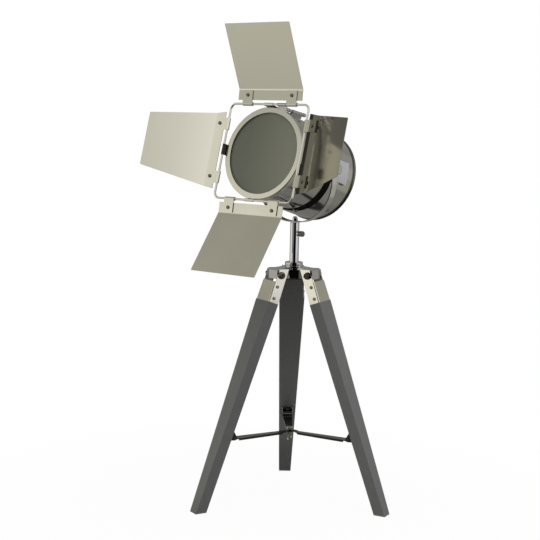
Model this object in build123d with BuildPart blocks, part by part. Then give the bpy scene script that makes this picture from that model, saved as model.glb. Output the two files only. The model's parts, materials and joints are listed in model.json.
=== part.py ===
from build123d import *
import os
from math import atan, cos, radians, sin, sqrt

# A table lamp built like a small film spotlight: a round drum with four
# hinged barn doors, held in a yoke on a telescopic stem, over three leaning
# legs tied together by a brace.
#
# Millimetres. The stand is drawn about the stem's axis, with the floor at
# z = 0 and the back leg towards +Y. At the end every piece is moved so that
# the origin lies on the floor, under the middle of the whole lamp.

# ---------------------------------------------------------------- driving sizes

# Legs: tapered boards that lean in to a bolt in the hub.
LEG_AZIMUTHS = {"left": 210, "right": 330, "back": 90}
LEG_LEAN = 19.84              # from the vertical
LEG_THICKNESS = 16.4
LEG_LENGTH = 349.0            # outer edge of the foot to the top of the board
LEG_EDGE_RADIUS = 0.8
FOOT_WIDTH = 17.9
SHOULDER_WIDTH = 37.4
BRACKET_LENGTH = 30.0         # stretch of the board that the bracket covers

# Bracket: a bent channel round the top of each board, with two lugs.
BRACKET_SHEET = 1.5
BRACKET_BEND = 1.9
BRACKET_WIDTH = 35.4          # outside, at the shoulder of the board
LUG_WIDTH = 32.6              # outside, at the hub bolt
LUG_PLAY = 0.2
TONGUE_FIT = 0.15            # board inside the bracket
LUG_ABOVE_BOLT = 8.5
BOLT_ABOVE_BOARD = 10.9       # along the leg
BOLT_DEPTH = 7.4              # from the outer face of the leg
SCREW_DEPTH = 6.7
SCREW_INSETS = (6.4, 23.5)    # from the shoulder, along the leg

# Hub: a casting with three arms and a flange under the collar.
HUB_BOLT_RADIUS = 31.0        # from the stem's axis
HUB_BOLT_DIAMETER = 5.0
BOLT_HEAD_DIAMETER = 10.6
BOLT_HEAD_HEIGHT = 3.2
NUT_ACROSS_FLATS = 8.0
ARM_BEYOND_BOLT = 8.4
ARM_BELOW_BOLT = 5.0
ARM_TIP_HEIGHT = 12.4
ARM_RAMP_RISE = 3.2           # how far the ramp on an arm climbs towards the flange
ARM_RAMP_WIDTH = 19.0         # across the top of the ramp, at the flange
WEB_FACE = 20.2               # stem's axis to the flat between two arms
CORE_BELOW_ARMS = 1.0
ARM_TIP_BULGE = 2.4
CORE_RADIUS = 10.9
FLANGE_RADIUS = 13.0
FLANGE_THICKNESS = 4.3
COLLAR_HEIGHT = 5.4

# Stem: a tube with a rod that slides in it, and a thumb screw.
TUBE_RADIUS = 6.65
TUBE_WALL = 1.35
TUBE_RISE = 62.7              # top of the hub to the top of the tube
RISER_TRAVEL = 35.0
ROD_GRIP = 15.0               # rod left below the thumb screw when it is pulled out
THUMB_SCREW_DROP = 16.0       # below the top of the tube
THUMB_SCREW_AZIMUTH = -42
THUMB_SCREW_DIAMETER = 3.0
THUMB_BOSS_RADIUS = 3.5
THUMB_BOSS_REACH = 8.5        # from the stem's axis
THUMB_KNOB_RADIUS = 4.1
THUMB_KNOB_REACH = (10.2, 16.2)

# Yoke: a flat strip bent to a U.
YOKE_SHEET = 1.7
YOKE_STRIP = 13.0
YOKE_INSIDE = 132.8           # between the two sides
YOKE_CORNER = 40.0            # inside the bend
YOKE_DROP = 79.1              # tilt axis down to the underside of the strip
STUD_DIAMETER = 4.0
WASHER_RADIUS = 4.6
WASHER_THICKNESS = 0.8
ACORN_ACROSS_FLATS = 7.0
ACORN_HEX_HEIGHT = 3.2
ACORN_HEIGHT = 5.8

# Pose of the lamp as it stands.
PAN_REST = 39.4               # head turned towards the left leg
TILT_REST = 15.25             # nose up

# Drum, drawn about its own optical axis: X is the tilt axis, Z points out
# of the lens.
DRUM_RADIUS = 64.3
DRUM_SHEET = 1.2
DRUM_REAR = -53.6
DRUM_FRONT = 76.5
BEAD_RADIUS = 2.4
CAP_SHEET = 1.2
CAP_DOME = 5.4                # from the bead back to the flat of the cap
CAP_FLAT_RADIUS = 34.0
CAP_SPIGOT = 8.0
VENT_COUNT = 16
VENT_CIRCLE = 48.0
VENT_SIZE = (9.0, 2.6)
GLAND_OFFSET = -25.0
GLAND_BODY_RADIUS = 5.0
GLAND_BORE_RADIUS = 3.3
BEZEL_RADIUS = 66.1
BEZEL_BORE = 58.0
BEZEL_FRONT = 81.9
BEZEL_DEPTH = 8.0
BEZEL_SHEET = 1.2
LENS_RADIUS = 60.0
LENS_THICKNESS = 3.6
LENS_DOME = 1.6
GASKET_WALL = 1.4
REFLECTOR_SHEET = 1.0
REFLECTOR_THROAT = 21.0
REFLECTOR_REAR = -14.0
REFLECTOR_SAG = 9.0
HOLDER_RADIUS = 17.0
HOLDER_LENGTH = 38.0
BULB_RADIUS = 22.5
BULB_CAP_RADIUS = 13.0
BULB_CENTRE = 20.0

# Tilt pivots.
PIVOT_STUD_RADIUS = 2.5
PIVOT_HOLE_RADIUS = 3.0
PIVOT_BOSS_RADIUS = 6.0
PIVOT_BOSS_LENGTH = 5.0
PIVOT_WASHER_RADIUS = 7.0
TILT_KNOB_RADIUS = 7.0
TILT_KNOB_HEIGHT = 8.0

# Wire frame in front of the bezel, and what holds it.
WIRE_RADIUS = 1.5
FRAME_SIDE = 137.1            # between the centre lines of the wire
FRAME_CORNER = 8.5
FRAME_PLANE = 85.9
CLIP_SHEET = 1.2
CLIP_WRAP = 0.6               # thin end of the clip, rolled round the wire
CLIP_WIDTH = 15.5
CLIP_OFFSETS = {"top": -1.5, "left": 1.8, "bottom": 4.5, "right": 20.0}
CLIP_FOOT = (-20.5, -15.0)    # behind the wire
LATCH_ANGLE = 64.0            # round the drum from the tilt axis
LATCH_ROD_RADIUS = 1.7
LATCH_ROD_TIP = (68.6, 85.4)  # radius, place along the optical axis
LATCH_ROD_TAIL = (72.2, 44.4)
LATCH_GUIDE = (6.0, 29.0)     # along the rod, from its tail
LATCH_GUIDE_WALL = 0.8
LATCH_FOOT_WIDTH = 3.0
LATCH_SHEET = 1.5
LATCH_KNOB_RADIUS = 2.7
LATCH_COLLAR_RADIUS = 2.5
LATCH_COLLAR_WIDTH = 2.4
LATCH_PULL = 5.0              # until the collar meets the guide

# Barn doors: a flange and a leaf in one bent sheet, on two curled tabs.
DOOR_SHEET = 1.0
DOOR_WIDTH = 112.0
SIDE_DOOR_TIP = 77.0
DOOR_GAP = 5.4                # centre of the wire to the edge of the flange
FLANGE_LENGTH = 15.2
LEAF_LENGTH = 96.0
DOOR_CREASE = 28.0
DOOR_BEND = 2.0
DOOR_CORNER = 1.5
DOOR_REST = {"top": 8.8, "left": 5.8, "bottom": -6.6, "right": 2.6}
DOOR_TIP_WIDTHS = {"top": DOOR_WIDTH, "left": SIDE_DOOR_TIP, "bottom": DOOR_WIDTH, "right": SIDE_DOOR_TIP}
TAB_WIDTH = 17.0
TAB_SPREAD = 77.4
TAB_SHEET = 1.2
TAB_LENGTH = 19.4
TAB_SCREW = 12.4
TAB_SCREW_RADIUS = 1.5
TAB_HEAD_RADIUS = 2.6

# Brace between the legs.
BRACE_HEIGHT = 100.9          # underside of the strips
BRACE_SHEET = 1.2
BRACE_WIDTH = 14.4
BRACE_NECK = 8.0
BRACE_LIP = 2.0               # edges of the strips turned down
BRACE_EYE_RADIUS = 5.6
BRACE_BOLT_DIAMETER = 5.0
BRACE_JOGGLE = (9.0, 13.0)    # from the stem's axis
HINGE_WIDTH = 18.0
HINGE_SHEET = 1.5
HINGE_HEIGHT = 13.0
HINGE_STANDOFF = 7.0          # inner face of the leg to the pin
HINGE_PIN_RADIUS = 1.5
HINGE_EAR_RADIUS = 3.4
HINGE_SCREW_RISE = 8.6        # above the underside of the hinge
BRACE_HEAD_RADIUS = 4.9
BRACE_HEAD_HEIGHT = 3.4
WING_NUT_RADIUS = 4.3
WING_NUT_HEIGHT = 5.5
WING_SHEET = 1.9
WING_SPAN = 14.0
WING_DROP = 11.5              # from the brace down to the tips of the wings
WING_AZIMUTH = 62

# Clearances and joins.
SHELL_BITE = 1.0              # how deep a joined form reaches into its neighbour
SCREW_FIT = 0.05              # a screw or rivet in its hole
RUNNING_FIT = 0.1             # a pin or rod that moves in its bore
CLEAR = 0.3                   # between pieces that pass each other
SMALL_SCREW_RADIUS = 1.3
SMALL_HEAD_RADIUS = 2.4
SMALL_HEAD_HEIGHT = 1.2
SMALL_SCREW_LENGTH = 9.0
EDGE_BREAK = 0.4              # rounding of turned edges

# ---------------------------------------------------------------- derived sizes

LEAN_SIN = sin(radians(LEG_LEAN))
LEAN_COS = cos(radians(LEG_LEAN))
SHOULDER = LEG_LENGTH - BRACKET_LENGTH
BOLT_ALONG = LEG_LENGTH + BOLT_ABOVE_BOARD
FOOT_RADIUS = HUB_BOLT_RADIUS + BOLT_ALONG * LEAN_SIN + BOLT_DEPTH * LEAN_COS
BOLT_HEIGHT = BOLT_ALONG * LEAN_COS - BOLT_DEPTH * LEAN_SIN



def bracket_half(along):
    """Half of the bracket's outside width at some length along the leg."""
    slope = (LUG_WIDTH - BRACKET_WIDTH) / 2 / (BOLT_ALONG - SHOULDER)
    return BRACKET_WIDTH / 2 + slope * (along - SHOULDER)


# The lugs end in a level cut, highest at the inner side of the leg.
LUG_TOP_ALONG = BOLT_ALONG + (LUG_ABOVE_BOLT + (LEG_THICKNESS - BOLT_DEPTH) * LEAN_SIN) / LEAN_COS
ARM_BOTTOM = BOLT_HEIGHT - ARM_BELOW_BOLT
ARM_TIP_TOP = ARM_BOTTOM + ARM_TIP_HEIGHT
ARM_TIP = HUB_BOLT_RADIUS + ARM_BEYOND_BOLT
ARM_WIDTH = 2 * (bracket_half(LUG_TOP_ALONG) - BRACKET_SHEET - LUG_PLAY)
HUB_TOP = ARM_TIP_TOP + FLANGE_THICKNESS
TUBE_FOOT = ARM_BOTTOM + CORE_BELOW_ARMS
TUBE_TOP = HUB_TOP + TUBE_RISE
TUBE_BORE = TUBE_RADIUS - TUBE_WALL
YOKE_SEAT = TUBE_TOP + CLEAR
TILT_HEIGHT = YOKE_SEAT + YOKE_DROP
THUMB_SCREW_HEIGHT = TUBE_TOP - THUMB_SCREW_DROP
ROD_LENGTH = THUMB_SCREW_DROP + RISER_TRAVEL + ROD_GRIP

WIRE_OFFSET = FRAME_SIDE / 2
CAP_BEAD_RING = DRUM_RADIUS - DRUM_SHEET + 0.2
CAP_BEAD_PLANE = DRUM_REAR - 2.0
CAP_REAR = CAP_BEAD_PLANE - CAP_DOME
CAP_INSIDE = CAP_REAR + CAP_SHEET


def leg_plane(azimuth):
    """Frame of one leg: X across it, Y from its outer face inwards, Z up along it."""
    out = Vector(cos(radians(azimuth)), sin(radians(azimuth)), 0)
    return Plane(
        origin=out * FOOT_RADIUS,
        x_dir=Vector(0, 0, 1).cross(out),
        z_dir=Vector(0, 0, LEAN_COS) - out * LEAN_SIN,
    )


def radial_plane(azimuth):
    """Upright frame on the stem's axis with X pointing out along an azimuth."""
    return Plane.XY.rotated((0, 0, azimuth))


def inner_face(height):
    """Distance from the stem's axis to the inner face of a leg at some height."""
    return FOOT_RADIUS - LEG_THICKNESS / LEAN_COS - height * LEAN_SIN / LEAN_COS


# The yoke turns with the pan, the head also with the tilt.
YOKE = Plane(origin=(0, 0, TILT_HEIGHT), x_dir=(1, 0, 0), z_dir=(0, 0, 1)).rotated((0, 0, -PAN_REST))
HEAD_AXIS = -YOKE.y_dir * cos(radians(TILT_REST)) + YOKE.z_dir * sin(radians(TILT_REST))
HEAD = Plane(origin=YOKE.origin, x_dir=YOKE.x_dir, z_dir=HEAD_AXIS)

# Frames on the four sides of the wire, inside the head's frame: X along the
# wire, Y away from the drum, Z towards the front.
SIDE_TURNS = {"top": 0, "left": 90, "bottom": 180, "right": -90}


def side_plane(side):
    """Frame on the centre line of one side of the wire frame."""
    turn = SIDE_TURNS[side]
    out = Vector(-sin(radians(turn)), cos(radians(turn)), 0)
    return Plane(
        origin=out * WIRE_OFFSET + Vector(0, 0, FRAME_PLANE),
        x_dir=(cos(radians(turn)), sin(radians(turn)), 0),
        z_dir=(0, 0, 1),
    )


pieces = {}

# ---------------------------------------------------------------- legs

FLOOR_ON_LEG = Plane(origin=(0, 0, 0), x_dir=(1, 0, 0), z_dir=(0, -LEAN_SIN, LEAN_COS))
hinge_screw_height = BRACE_HEIGHT + HINGE_SCREW_RISE
hinge_screw_along = (hinge_screw_height + LEG_THICKNESS * LEAN_SIN) / LEAN_COS
screw_spots = [(SCREW_DEPTH, SHOULDER + inset) for inset in SCREW_INSETS]

with BuildPart() as leg:
    with BuildSketch(Plane.XZ):
        with BuildLine():
            Polyline(
                (-FOOT_WIDTH / 2, 0),
                (FOOT_WIDTH / 2, 0),
                (SHOULDER_WIDTH / 2, SHOULDER),
                (-SHOULDER_WIDTH / 2, SHOULDER),
                close=True,
            )
        make_face()
    extrude(amount=-LEG_THICKNESS)
    fillet(leg.edges().filter_by(lambda edge: edge.length > SHOULDER), LEG_EDGE_RADIUS)
    # The tongue that the bracket wraps is thinner by its sheet.
    with BuildSketch(Plane.XZ.offset(-BRACKET_SHEET - TONGUE_FIT)):
        with BuildLine():
            foot_half = bracket_half(SHOULDER) - BRACKET_SHEET - TONGUE_FIT
            top_half = bracket_half(LEG_LENGTH) - BRACKET_SHEET - TONGUE_FIT
            Polyline(
                (-foot_half, SHOULDER),
                (foot_half, SHOULDER),
                (top_half, LEG_LENGTH),
                (-top_half, LEG_LENGTH),
                close=True,
            )
        make_face()
    extrude(amount=BRACKET_SHEET + TONGUE_FIT - LEG_THICKNESS)
    split(bisect_by=FLOOR_ON_LEG, keep=Keep.TOP)
    with BuildSketch(Plane.YZ):
        with Locations(*screw_spots):
            Circle(SMALL_SCREW_RADIUS + SCREW_FIT)
    extrude(amount=BRACKET_WIDTH, both=True, mode=Mode.SUBTRACT)
    with BuildSketch(Plane.XZ.offset(-LEG_THICKNESS)):
        with Locations((0, hinge_screw_along)):
            Circle(SMALL_SCREW_RADIUS + SCREW_FIT)
    extrude(amount=SMALL_SCREW_LENGTH + CLEAR, mode=Mode.SUBTRACT)

# ---------------------------------------------------------------- leg brackets

bolt_spot = (BOLT_DEPTH, BOLT_ALONG)
LUG_CUT = Plane(
    origin=(0, BOLT_DEPTH - LUG_ABOVE_BOLT * LEAN_SIN, BOLT_ALONG + LUG_ABOVE_BOLT * LEAN_COS),
    x_dir=(1, 0, 0),
    z_dir=(0, -LEAN_SIN, LEAN_COS),
)
lug_end = LUG_TOP_ALONG + 1

with BuildPart() as leg_bracket:
    with BuildSketch(Plane.XZ):
        with BuildLine():
            Polyline(
                (-bracket_half(SHOULDER), SHOULDER),
                (bracket_half(SHOULDER), SHOULDER),
                (bracket_half(lug_end), lug_end),
                (-bracket_half(lug_end), lug_end),
                close=True,
            )
        make_face()
    extrude(amount=-LEG_THICKNESS)
    bends = leg_bracket.edges().group_by(Axis.Y)[0].filter_by(Axis.X, reverse=True)
    fillet(bends, BRACKET_BEND)
    ends = leg_bracket.faces().filter_by(Axis.Z)
    offset(amount=-BRACKET_SHEET, openings=[*ends, leg_bracket.faces().sort_by(Axis.Y)[-1]])
    # Above the board only the two lugs go on, up to a level cut.
    with BuildSketch(Plane.XY.offset(LEG_LENGTH)):
        Rectangle(BRACKET_WIDTH, 2 * BRACKET_BEND + 0.2)
    extrude(amount=lug_end, mode=Mode.SUBTRACT)
    split(bisect_by=LUG_CUT, keep=Keep.BOTTOM)
    with BuildSketch(Plane.YZ):
        with Locations(bolt_spot):
            Circle(HUB_BOLT_DIAMETER / 2 + SCREW_FIT)
        with Locations(*screw_spots):
            Circle(SMALL_SCREW_RADIUS + SCREW_FIT)
    extrude(amount=BRACKET_WIDTH, both=True, mode=Mode.SUBTRACT)

for side, azimuth in LEG_AZIMUTHS.items():
    pieces[f"leg_{side}"] = leg_plane(azimuth).location * leg.part
    pieces[f"leg_bracket_{side}"] = leg_plane(azimuth).location * leg_bracket.part

# ---------------------------------------------------------------- stand screws

head_seat = bracket_half(BOLT_ALONG - BOLT_HEAD_DIAMETER / 2)

with BuildPart() as hub_bolt:
    with BuildSketch(Plane.YZ.offset(-head_seat - NUT_ACROSS_FLATS * 0.55)):
        with Locations(bolt_spot):
            Circle(HUB_BOLT_DIAMETER / 2)
    extrude(amount=2 * head_seat + NUT_ACROSS_FLATS * 0.55)
    with BuildSketch(Plane.YZ.offset(head_seat)):
        with Locations(bolt_spot):
            Circle(BOLT_HEAD_DIAMETER / 2)
    extrude(amount=BOLT_HEAD_HEIGHT)
    rim = hub_bolt.edges().sort_by(Axis.X)[-1]
    fillet(rim, BOLT_HEAD_HEIGHT * 0.6)
    with BuildSketch(Plane.YZ.offset(head_seat + BOLT_HEAD_HEIGHT)):
        with Locations(bolt_spot):
            RegularPolygon(HUB_BOLT_DIAMETER * 0.3, 6, major_radius=False)
    extrude(amount=-BOLT_HEAD_HEIGHT * 0.6, mode=Mode.SUBTRACT)

with BuildPart() as hub_nut:
    with BuildSketch(Plane.YZ.offset(-head_seat)):
        with Locations(bolt_spot):
            Circle(BOLT_HEAD_DIAMETER / 2)
            Circle(HUB_BOLT_DIAMETER / 2 + SCREW_FIT, mode=Mode.SUBTRACT)
    extrude(amount=-WASHER_THICKNESS)
    with BuildSketch(Plane.YZ.offset(-head_seat - WASHER_THICKNESS)):
        with Locations(bolt_spot):
            RegularPolygon(NUT_ACROSS_FLATS / 2, 6, major_radius=False)
            Circle(HUB_BOLT_DIAMETER / 2 + SCREW_FIT, mode=Mode.SUBTRACT)
    extrude(amount=-NUT_ACROSS_FLATS * 0.5)

with BuildPart() as bracket_screw:
    with BuildSketch(Plane.XY):
        Circle(SMALL_SCREW_RADIUS)
    extrude(amount=-SMALL_SCREW_LENGTH)
    with BuildSketch(Plane.XY):
        Circle(SMALL_HEAD_RADIUS)
    extrude(amount=SMALL_HEAD_HEIGHT)
    fillet(bracket_screw.edges().sort_by(Axis.Z)[-1], SMALL_HEAD_HEIGHT * 0.7)

with BuildPart() as hub_bolts:
    for azimuth in LEG_AZIMUTHS.values():
        add(leg_plane(azimuth).location * hub_bolt.part)

with BuildPart() as hub_nuts:
    for azimuth in LEG_AZIMUTHS.values():
        add(leg_plane(azimuth).location * hub_nut.part)

with BuildPart() as bracket_screws:
    for azimuth in LEG_AZIMUTHS.values():
        for depth, along in screw_spots:
            seat = bracket_half(along - SMALL_HEAD_RADIUS)
            for way in (-1, 1):
                spot = Plane(origin=(way * seat, depth, along), x_dir=(0, 1, 0), z_dir=(way, 0, 0))
                add(leg_plane(azimuth).location * spot.location * bracket_screw.part)

pieces["hub_bolts"] = hub_bolts.part
pieces["hub_nuts"] = hub_nuts.part
pieces["bracket_screws"] = bracket_screws.part

# ---------------------------------------------------------------- hub

ramp_root = FLANGE_RADIUS - SHELL_BITE
ramp_tip = ARM_TIP - ARM_TIP_BULGE

with BuildPart() as hub_arm:
    with BuildSketch(Plane.XY.offset(ARM_BOTTOM)):
        with BuildLine():
            Polyline(
                (ramp_tip, ARM_WIDTH / 2),
                (0, ARM_WIDTH / 2),
                (0, -ARM_WIDTH / 2),
                (ramp_tip, -ARM_WIDTH / 2),
            )
            ThreePointArc((ramp_tip, -ARM_WIDTH / 2), (ARM_TIP, 0), (ramp_tip, ARM_WIDTH / 2))
        make_face()
    extrude(amount=ARM_TIP_HEIGHT)
    # The ramp leaves the arm at its tip and narrows as it climbs to the flange.
    with BuildSketch(Plane.YZ.offset(ramp_root)):
        with BuildLine():
            Polyline(
                (-ARM_WIDTH / 2, ARM_TIP_TOP - SHELL_BITE),
                (ARM_WIDTH / 2, ARM_TIP_TOP - SHELL_BITE),
                (ARM_RAMP_WIDTH / 2, ARM_TIP_TOP + ARM_RAMP_RISE),
                (-ARM_RAMP_WIDTH / 2, ARM_TIP_TOP + ARM_RAMP_RISE),
                close=True,
            )
        make_face()
    with BuildSketch(Plane.YZ.offset(ramp_tip)):
        with BuildLine():
            Polyline(
                (-ARM_WIDTH / 2, ARM_TIP_TOP - SHELL_BITE),
                (ARM_WIDTH / 2, ARM_TIP_TOP - SHELL_BITE),
                (ARM_WIDTH / 2 - SHELL_BITE / 2, ARM_TIP_TOP),
                (SHELL_BITE / 2 - ARM_WIDTH / 2, ARM_TIP_TOP),
                close=True,
            )
        make_face()
    loft(ruled=True)
    with BuildSketch(Plane.XZ):
        with Locations((HUB_BOLT_RADIUS, BOLT_HEIGHT)):
            Circle(HUB_BOLT_DIAMETER / 2 + SCREW_FIT)
    extrude(amount=ARM_WIDTH, both=True, mode=Mode.SUBTRACT)

with BuildPart() as hub_casting:
    with BuildSketch(Plane.XY.offset(ARM_BOTTOM - CORE_BELOW_ARMS)):
        Circle(CORE_RADIUS)
    extrude(amount=HUB_TOP - ARM_BOTTOM + CORE_BELOW_ARMS)
    with BuildSketch(Plane.XY.offset(HUB_TOP)):
        Circle(FLANGE_RADIUS)
    extrude(amount=-FLANGE_THICKNESS)
    # Flat webs fill the corners between the arms.
    with BuildSketch(Plane.XY.offset(ARM_BOTTOM)):
        RegularPolygon(WEB_FACE, 3, major_radius=False, rotation=LEG_AZIMUTHS["back"])
        Circle(HUB_BOLT_RADIUS - HUB_BOLT_DIAMETER, mode=Mode.INTERSECT)
    extrude(amount=ARM_TIP_HEIGHT)
    for azimuth in LEG_AZIMUTHS.values():
        add(radial_plane(azimuth).location * hub_arm.part)
    with BuildSketch(Plane.XY.offset(HUB_TOP)):
        Circle(TUBE_RADIUS + SCREW_FIT)
    extrude(amount=TUBE_FOOT - HUB_TOP, mode=Mode.SUBTRACT)

with BuildPart() as stem_collar:
    with BuildSketch(Plane.XY.offset(HUB_TOP)):
        Circle(FLANGE_RADIUS)
    extrude(amount=COLLAR_HEIGHT)
    chamfer(stem_collar.edges().group_by(Axis.Z)[-1], EDGE_BREAK * 2)
    fillet(stem_collar.edges().group_by(Axis.Z)[0], EDGE_BREAK)
    with BuildSketch(Plane.XY.offset(HUB_TOP)):
        Circle(TUBE_RADIUS + SCREW_FIT)
    extrude(amount=COLLAR_HEIGHT, mode=Mode.SUBTRACT)

pieces["hub_casting"] = hub_casting.part
pieces["stem_collar"] = stem_collar.part

# ---------------------------------------------------------------- stem

THUMB = Plane(
    origin=(0, 0, THUMB_SCREW_HEIGHT),
    x_dir=(0, 0, 1),
    z_dir=(cos(radians(THUMB_SCREW_AZIMUTH)), sin(radians(THUMB_SCREW_AZIMUTH)), 0),
)
ROD_RADIUS = TUBE_BORE - RUNNING_FIT

with BuildPart() as stem_tube:
    with BuildSketch(Plane.XY.offset(TUBE_FOOT)):
        Circle(TUBE_RADIUS)
    extrude(amount=TUBE_TOP - TUBE_FOOT)
    fillet(stem_tube.edges().group_by(Axis.Z)[-1], EDGE_BREAK)
    with BuildSketch(THUMB):
        Circle(THUMB_BOSS_RADIUS)
    extrude(amount=THUMB_BOSS_REACH)
    with BuildSketch(Plane.XY.offset(TUBE_FOOT)):
        Circle(TUBE_BORE)
    extrude(amount=TUBE_TOP - TUBE_FOOT, mode=Mode.SUBTRACT)
    with BuildSketch(THUMB):
        Circle(THUMB_SCREW_DIAMETER / 2 + RUNNING_FIT)
    extrude(amount=THUMB_BOSS_REACH, mode=Mode.SUBTRACT)

with BuildPart() as riser_rod:
    with BuildSketch(Plane.XY.offset(YOKE_SEAT - ROD_LENGTH)):
        Circle(ROD_RADIUS)
    extrude(amount=ROD_LENGTH)
    chamfer(riser_rod.edges().group_by(Axis.Z)[0], EDGE_BREAK * 2)
    with BuildSketch(Plane.XY.offset(YOKE_SEAT)):
        Circle(STUD_DIAMETER / 2)
    extrude(amount=YOKE_SHEET + WASHER_THICKNESS + ACORN_HEX_HEIGHT)

washer_base = YOKE_SEAT + YOKE_SHEET
nut_base = washer_base + WASHER_THICKNESS
nut_dome = ACORN_HEIGHT - ACORN_HEX_HEIGHT

with BuildPart() as yoke_nut:
    with BuildSketch(Plane.XY.offset(nut_base)):
        RegularPolygon(ACORN_ACROSS_FLATS / 2, 6, major_radius=False)
    extrude(amount=ACORN_HEX_HEIGHT)
    with BuildSketch(Plane.XY.offset(nut_base + ACORN_HEX_HEIGHT)):
        Circle(ACORN_ACROSS_FLATS / 2 - 0.1)
    extrude(amount=nut_dome)
    fillet(yoke_nut.edges().group_by(Axis.Z)[-1], nut_dome * 0.9)
    with BuildSketch(Plane.XY.offset(washer_base)):
        Circle(WASHER_RADIUS)
    extrude(amount=WASHER_THICKNESS)
    with BuildSketch(Plane.XY.offset(washer_base)):
        Circle(STUD_DIAMETER / 2 + SCREW_FIT)
    extrude(amount=WASHER_THICKNESS + ACORN_HEX_HEIGHT + SCREW_FIT, mode=Mode.SUBTRACT)


def fluted_knob(radius, height, flutes):
    """A round knob on the XY plane, with flutes round its rim and a domed end."""
    with BuildPart() as knob:
        with BuildSketch(Plane.XY):
            Circle(radius)
        extrude(amount=height)
        fillet(knob.edges().group_by(Axis.Z)[-1], radius * 0.25)
        with BuildSketch(Plane.XY.offset(height * 0.15)):
            with PolarLocations(radius * 1.04, flutes):
                Circle(radius * 0.14)
        extrude(amount=height, mode=Mode.SUBTRACT)
    return knob.part


thumb_knob = fluted_knob(THUMB_KNOB_RADIUS, THUMB_KNOB_REACH[1] - THUMB_KNOB_REACH[0], 12)

with BuildPart() as height_screw:
    add(THUMB.offset(THUMB_KNOB_REACH[0]).location * thumb_knob)
    with BuildSketch(THUMB.offset(ROD_RADIUS + CLEAR)):
        Circle(THUMB_SCREW_DIAMETER / 2)
    extrude(amount=THUMB_KNOB_REACH[0] - ROD_RADIUS - CLEAR)

pieces["stem_tube"] = stem_tube.part
pieces["riser_rod"] = riser_rod.part
pieces["yoke_nut"] = yoke_nut.part
pieces["height_screw"] = height_screw.part

# ---------------------------------------------------------------- brace

pin_height = BRACE_HEIGHT + BRACE_SHEET + HINGE_PIN_RADIUS + RUNNING_FIT
knuckle_radius = pin_height - BRACE_HEIGHT
pin_radius_out = inner_face(pin_height) - HINGE_STANDOFF
hinge_top = BRACE_HEIGHT + HINGE_HEIGHT
hinge_inset = HINGE_SHEET / LEAN_COS
ear_gap = HINGE_WIDTH - 2 * HINGE_SHEET
strip_full = pin_radius_out - HINGE_STANDOFF

with BuildPart() as brace_hinge:
    with BuildSketch(Plane.XZ):
        with BuildLine():
            Polyline(
                (inner_face(BRACE_HEIGHT), BRACE_HEIGHT),
                (inner_face(hinge_top), hinge_top),
                (inner_face(hinge_top) - hinge_inset, hinge_top),
                (inner_face(BRACE_HEIGHT) - hinge_inset, BRACE_HEIGHT),
                close=True,
            )
        make_face()
        with Locations((pin_radius_out, pin_height)):
            Circle(HINGE_EAR_RADIUS)
        make_hull()
    extrude(amount=HINGE_WIDTH / 2, both=True)
    # Between its ears the bracket is open down to the back plate.
    with BuildSketch(Plane.XZ):
        with BuildLine():
            Polyline(
                (inner_face(0) - hinge_inset, 0),
                (inner_face(2 * hinge_top) - hinge_inset, 2 * hinge_top),
                (0, 2 * hinge_top),
                (0, 0),
                close=True,
            )
        make_face()
    extrude(amount=ear_gap / 2, both=True, mode=Mode.SUBTRACT)
    with BuildSketch(Plane.XZ):
        with Locations((pin_radius_out, pin_height)):
            Circle(HINGE_PIN_RADIUS + SCREW_FIT)
    extrude(amount=HINGE_WIDTH, both=True, mode=Mode.SUBTRACT)
    HINGE_SCREW = Plane(
        origin=(inner_face(hinge_screw_height), 0, hinge_screw_height),
        x_dir=(0, 1, 0),
        z_dir=(-LEAN_COS, 0, -LEAN_SIN),
    )
    with BuildSketch(HINGE_SCREW):
        Circle(SMALL_SCREW_RADIUS + SCREW_FIT)
    extrude(amount=HINGE_SHEET * 2, both=True, mode=Mode.SUBTRACT)

with BuildPart() as brace_pin:
    with BuildSketch(Plane.XZ.offset(-HINGE_WIDTH / 2 - HINGE_SHEET / 2)):
        with Locations((pin_radius_out, pin_height)):
            Circle(HINGE_PIN_RADIUS)
    extrude(amount=HINGE_WIDTH + HINGE_SHEET)
    chamfer(brace_pin.edges().filter_by(GeomType.CIRCLE), HINGE_PIN_RADIUS * 0.3)


def strip_half(along):
    """Half of a strip's width at some distance from the stem's axis."""
    return BRACE_NECK / 2 + (BRACE_WIDTH - BRACE_NECK) / 2 * along / strip_full


def lip_outline(inset, mode=Mode.ADD):
    """Outline of the stretch of a strip that has lips, drawn in from its long edges."""
    start = BRACE_JOGGLE[1] + BRACE_SHEET
    end = strip_full - BRACE_SHEET
    Polygon(
        (start, inset - strip_half(start)),
        (end, inset - strip_half(end)),
        (end, strip_half(end) - inset),
        (start, strip_half(start) - inset),
        align=None,
        mode=mode,
    )


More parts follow.
